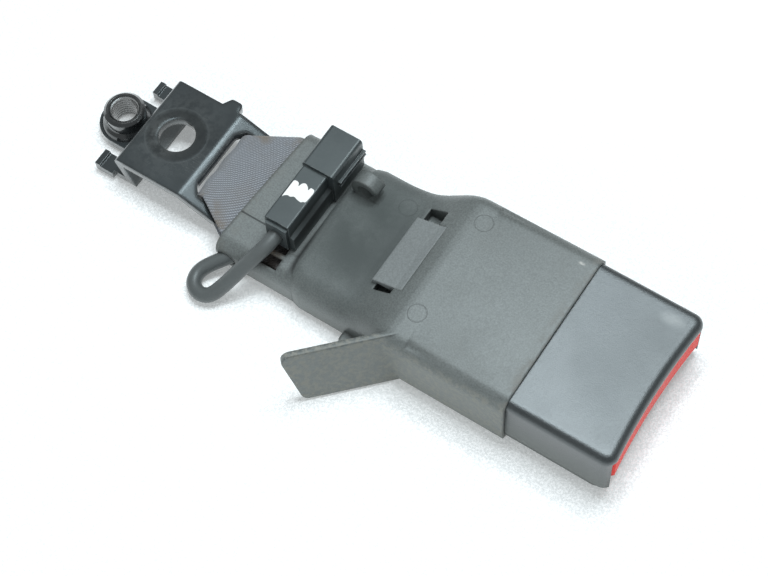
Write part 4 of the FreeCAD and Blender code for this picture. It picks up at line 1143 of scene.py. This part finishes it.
@dataclass
class Strap:
    """The belt webbing: a flat loop round the frame's tail bar and the bracket's bar."""

    front: tuple[float, float] = (101.7, 3.75)     # X and height of the tail bar's axis
    rear: tuple[float, float] = (20.9, 7.6)        # middle of the loop round the belt bar
    front_inner: float = 1.22
    rear_inner: float = 3.35
    sheet: float = 1.3
    width: float = 44.0
    gathered: float = 27.0
    taper: tuple[float, float] = (19.8, 34.0)      # X between which it's gathered
    far_pull: float = 0.4         # how much further forward the loop sits at its far edge
    ripple: float = 0.18          # height of the folds where it's gathered
    folds: float = 9.0            # phase of the folds from the middle to an edge
    rows: int = 360               # round the loop
    columns: int = 45             # across the strap

    def tangents(self) -> tuple[float, float, float, float, float]:
        """Find where the straight runs touch the circles round the two bars.

        The tangent points lie a quarter turn and a lean to either side of the heading from
        the rear circle to the front one; sin of the lean is the difference of the radii
        over the distance.

        Returns:
            The front radius, the rear radius, the lower and upper angle and the run's length.
        """
        near, far = self.front_inner + self.sheet / 2, self.rear_inner + self.sheet / 2
        gap = np.subtract(self.front, self.rear)
        span = float(np.hypot(*gap))
        lean = math.asin((near - far) / span)
        heading = math.atan2(gap[1], gap[0])
        top, low = heading + math.pi / 2 + lean, heading - math.pi / 2 - lean
        return near, far, low, top, math.sqrt(span * span - (near - far) ** 2)

    @property
    def total(self) -> float:
        """Length once round the loop, in millimetres: both arcs and both runs."""
        near, far, low, top, run = self.tangents()
        return 2 * run + near * (top - low) + far * (2 * math.pi - (top - low))

    def centre_line(self) -> tuple[np.ndarray, np.ndarray]:
        """Places evenly spaced along the middle of the strap's sheet.

        Each place is a bar's centre plus the radius along the outward normal, plus the
        distance gone on the straight run. The angle grows on the arcs and stays on the runs.

        Returns:
            The places as X and height, and their outward normals.
        """
        near, far, low, top, run = self.tangents()
        leaves = near * (top - low)
        meets = leaves + run
        returns = meets + far * (2 * math.pi - (top - low))
        at = np.linspace(0.0, self.total, self.rows, endpoint=False)
        parts = [at < leaves, at < meets, at < returns]
        angle = np.select(parts, [low + at / near, top, top + (at - meets) / far], low)
        gone = np.select(parts, [0.0, at - leaves, 0.0], at - returns)
        in_front = (at < meets)[:, None]
        out = np.column_stack([np.cos(angle), np.sin(angle)])
        ahead = np.column_stack([-out[:, 1], out[:, 0]])
        base = np.where(in_front, self.front, self.rear)
        return base + np.where(in_front, near, far) * out + gone[:, None] * ahead, out

    def surface(self) -> np.ndarray:
        """Both faces of the sheet on a grid of rows round the loop and columns across it.

        A place is the centre line plus the normal times half the sheet and the ripple.
        Across, the half width goes from the gathered to the full one along the taper.

        Returns:
            The places in metres: the outer face's grid, then the inner one's.
        """
        places, normals = self.centre_line()
        share = np.linspace(-1.0, 1.0, self.columns)
        begins, full = self.taper
        blend = np.clip((places[:, 0] - begins) / (full - begins), 0, 1)
        half = (self.gathered + (self.width - self.gathered) * blend) / 2
        gather = (1 - blend)[:, None]
        ripple = self.ripple * gather * np.sin(share * self.folds)[None, :]
        pulled = self.far_pull * gather * np.clip(share, 0.0, 1.0)[None, :] ** 1.5
        edge = self.sheet / 2 * np.sqrt(np.clip(1 - np.abs(share) ** 24, 0.04, 1))[None, :]
        off = np.stack([edge + ripple, ripple - edge])
        x = places[:, 0][:, None] + normals[:, 0][:, None] * off + pulled
        z = places[:, 1][:, None] + normals[:, 1][:, None] * off
        y = np.broadcast_to(half[:, None] * share[None, :], x.shape)
        return np.stack([x * MM, y * MM, up(0.0) + z * MM], axis=-1).reshape(-1, 3)

    def faces(self) -> np.ndarray:
        """Quads of both faces of the sheet and of the two rims that join them.

        Returns:
            Four vertex indices for each quad.
        """
        inner_side, last = self.rows * self.columns, self.columns - 1
        start = np.arange(self.rows) * self.columns
        after = np.roll(start, -1)
        column = np.arange(last)[None, :]
        a, b = start[:, None] + column, start[:, None] + column + 1
        c, d = after[:, None] + column + 1, after[:, None] + column
        outer = np.stack([a, d, c, b], axis=-1).reshape(-1, 4)
        near_rim = np.stack([start, start + inner_side, after + inner_side, after], axis=-1)
        far_rim = np.stack([start, after, after + inner_side, start + inner_side], axis=-1) + last
        return np.concatenate([outer, outer[:, ::-1] + inner_side, near_rim, far_rim])

    def lay_map(self, mesh: bpy.types.Mesh) -> None:
        """Map the weave: U is the length along the loop and V the place across, flat.

        A quad that closes the loop gets the full length added where U starts again.

        Args:
            mesh: the strap's mesh, which gets the map.
        """
        across = np.tile(np.linspace(-1.0, 1.0, self.columns) * self.width / 2, self.rows * 2)
        along = np.arange(self.rows) * self.total / self.rows
        along = np.tile(np.repeat(along, self.columns), 2)
        loops = np.zeros(len(mesh.loops), dtype=np.int64)
        mesh.loops.foreach_get("vertex_index", loops)
        quads = along[loops].reshape(-1, 4)
        closing = np.ptp(quads, axis=1) > self.total / 2
        quads[closing] += np.where(quads[closing] < self.total / 2, self.total, 0.0)
        pair = np.stack([quads.reshape(-1), across[loops]], axis=-1)
        layer = mesh.uv_layers.new(name=STRAP_MAP)
        layer.data.foreach_set("uv", pair.astype(np.float32).reshape(-1))

    def build(self, paint: Paintbox) -> bpy.types.Object:
        """Make the webbing.

        Args:
            paint: hands out the finishes.

        Returns:
            The new object.
        """
        made = new_mesh("webbing_strap", self.surface(), self.faces().tolist(),
                        paint.get(Weave()))
        self.lay_map(made.data)
        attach(made, BUCKLE)
        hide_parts("webbing")
        self.total * MM
        return made


@dataclass(frozen=True)
class Coils:
    """A compression spring's coils, made a piece of their own."""

    node: str
    joint: str
    fixed_end: float              # X in millimetres
    travel: float                 # of the joint, in millimetres
    spare: float = 0.15           # by which the coils end short of what presses them

    def build(self, paint: Paintbox) -> bpy.types.Object:
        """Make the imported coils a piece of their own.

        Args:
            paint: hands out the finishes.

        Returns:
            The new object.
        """
        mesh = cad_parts[self.node].data.copy()
        mesh.name = f"{self.node}_coils"
        mesh.materials.clear()
        mesh.materials.append(paint.get(SPRING))
        made = show(mesh.name, mesh)
        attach(made, BUCKLE)
        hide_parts(self.node)
        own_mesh(made)
        return made


@dataclass
class PaintDab:
    """Three joined brush strokes of white marking paint on the plug; no letters."""

    outline: tuple[tuple[float, float], ...] = (   # clockwise from above
        (47.2, -6.4), (47.2, -3.6), (47.2, -1.3), (47.2, 0.6), (48.5, 0.8), (49.2, 0.4),
        (49.6, -0.7), (49.9, 0.3), (50.2, 1.0), (51.1, 1.5), (52.3, 0.8), (53.1, -0.3),
        (53.2, 0.5), (53.4, 1.0), (54.6, 0.9), (55.0, 0.2), (55.1, -0.8), (54.8, -4.3),
        (54.0, -4.4), (53.5, -5.0), (52.0, -4.8), (50.6, -4.3), (49.5, -5.1), (48.6, -4.9),
        (47.6, -5.6))
    level: float = 26.5
    thick: float = 0.06
    sunk: float = 0.01            # how far it reaches into the plug
    cut: float = 0.2              # share of a side that is cut off at each corner

    def build(self, paint: Paintbox) -> bpy.types.Object:
        """Make a thin plate whose outline is smoothed by cutting its corners once.

        Each side from p to q leaves the points p + cut (q - p) and q - cut (q - p).

        Args:
            paint: hands out the finishes.

        Returns:
            The new object.
        """
        line = np.array(self.outline)
        ahead = np.roll(line, -1, axis=0)
        keep = 1.0 - self.cut
        line = np.stack([line * keep + ahead * self.cut, line * self.cut + ahead * keep],
                        axis=1).reshape(-1, 2)
        count = len(line)
        low = np.column_stack([line * MM, np.full(count, up(self.level - self.sunk))])
        high = np.column_stack([line * MM, np.full(count, up(self.level + self.thick))])
        order = np.arange(count)
        after = np.roll(order, -1)
        sides = np.column_stack([after, order, count + order, count + after])
        faces = [(count + order[::-1]).tolist(), order.tolist(), *sides.tolist()]
        made = new_mesh("paint_dab", np.concatenate([low, high]), faces, paint.get(PAINT_DAB),
                        smooth=False)
        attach(made, BUCKLE)
        return made


@dataclass(frozen=True)
class Lamp:
    """A square soft lamp."""

    name: str
    place: Place                  # metres
    size: float                   # its side in metres
    power: float                  # watts
    shines: bool = True           # whether gloss mirrors it
    colour: Colour = (0.93, 1.0, 1.04)

    def hang(self, aim: Vector) -> None:
        """Hang the lamp.

        Args:
            aim: the point that it faces.
        """
        data = bpy.data.lights.new(self.name, "AREA")
        data.shape = "SQUARE"
        data.size = self.size
        data.energy = self.power
        data.color = self.colour
        lamp = show(self.name, data)
        place = Vector(self.place)
        lamp.matrix_world = (Matrix.Translation(place)
                             @ (place - aim).to_track_quat("Z", "Y").to_matrix().to_4x4())
        lamp.visible_glossy = self.shines


@dataclass
class Studio:
    """Camera at the photograph's angle, pale floor and soft lamps."""

    focal_pixels: float = 1936.8
    frame_pixels: float = 768.0
    sensor: float = 36.0          # millimetres
    nearest: float = 0.01         # metres from the camera at which things begin to show
    place: Place = (256.2, -226.4, 547.1)
    yaw: float = 128.03
    pitch: float = 62.85
    roll: float = -5.30
    floor_half: float = 8.0       # metres
    sky: float = 0.32             # the world's plain level, which lights the object
    mirrored_sky: float = 0.08    # added to it in gloss and glass
    sky_colour: Colour = (0.96, 0.99, 1.0)
    aim: Place = (0.10, 0.0, 0.0)
    lamps: tuple[Lamp, ...] = (
        Lamp("soft_box", (0.09, 0.25, 0.90), 0.42, 5.5),
        Lamp("streak_lamp", (0.21, 0.36, 0.88), 0.08, 0.6),
        Lamp("side_fill", (0.10, -0.60, 0.22), 0.50, 1.1, shines=False),
        Lamp("small_lamp", (0.0, 0.05, 0.90), 0.09, 1.0))

    def camera(self) -> None:
        """Look from the fitted place: yaw about +Z, pitch below the horizon, then roll."""
        yaw, pitch, roll = (math.radians(a) for a in (self.yaw, self.pitch, self.roll))
        ahead = Vector((math.cos(yaw) * math.cos(pitch), math.sin(yaw) * math.cos(pitch),
                        -math.sin(pitch)))
        level = Vector((math.sin(yaw), -math.cos(yaw), 0.0))
        above = level.cross(ahead)
        right = level * math.cos(roll) + above * math.sin(roll)
        top = above * math.cos(roll) - level * math.sin(roll)
        data = bpy.data.cameras.new("camera")
        data.sensor_width = self.sensor
        data.lens = self.focal_pixels * self.sensor / self.frame_pixels
        data.clip_start = self.nearest
        camera = show("camera", data)
        turn = Matrix((right, top, -ahead)).transposed().to_4x4()
        camera.matrix_world = Matrix.Translation(point(*self.place)) @ turn
        bpy.context.scene.camera = camera

    def floor(self, paint: Paintbox) -> None:
        """Lay one wide square at the height of the surface.

        Args:
            paint: hands out the finishes.
        """
        half = self.floor_half
        corners = np.array([(-half, -half, SURFACE), (half, -half, SURFACE),
                            (half, half, SURFACE), (-half, half, SURFACE)])
        floor = new_mesh("floor", corners, [[0, 1, 2, 3]], paint.get(FloorWhite()), smooth=False)
        floor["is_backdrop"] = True

    def world(self) -> None:
        """A dim even world that is white to the camera and a little lighter in gloss."""
        world = bpy.data.worlds.new("studio")
        world.use_nodes = True
        nodes = Nodes(world.node_tree)
        back = world.node_tree.nodes["Background"]
        back.inputs["Color"].default_value = solid(self.sky_colour)
        path = nodes.add("ShaderNodeLightPath").outputs
        plain = nodes.math("MULTIPLY_ADD", nodes.mirrored(path), self.mirrored_sky, self.sky)
        strength = nodes.math("MULTIPLY_ADD", path["Is Camera Ray"], 1.0 - self.sky, plain)
        nodes.link(strength, back.inputs["Strength"])
        bpy.context.scene.world = world

    def build(self, paint: Paintbox) -> None:
        """Set up the camera, the floor, the world and the lamps.

        Args:
            paint: hands out the finishes.
        """
        self.camera()
        self.floor(paint)
        self.world()
        for lamp in self.lamps:
            lamp.hang(Vector(self.aim))
        bpy.context.scene.view_settings.view_transform = "Standard"


def main() -> None:
    """Build the studio and dress every piece."""
    logging.basicConfig(level=logging.INFO, format="%(name)s: %(message)s")
    paint = Paintbox()
    Studio().build(paint)
    SwitchCable().build(paint)
    Strap().build(paint)
    PaintDab().build(paint)
    Coils("button_springs", "button_press", 126.0, 5.0).build(paint)
    Coils("ejector_spring", "ejector_slide", 115.0, 12.0).build(paint)
    paint.dress_cad()
    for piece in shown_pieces():
        LOG.info("piece %s", piece.name)


if __name__ == "__main__":
    main()
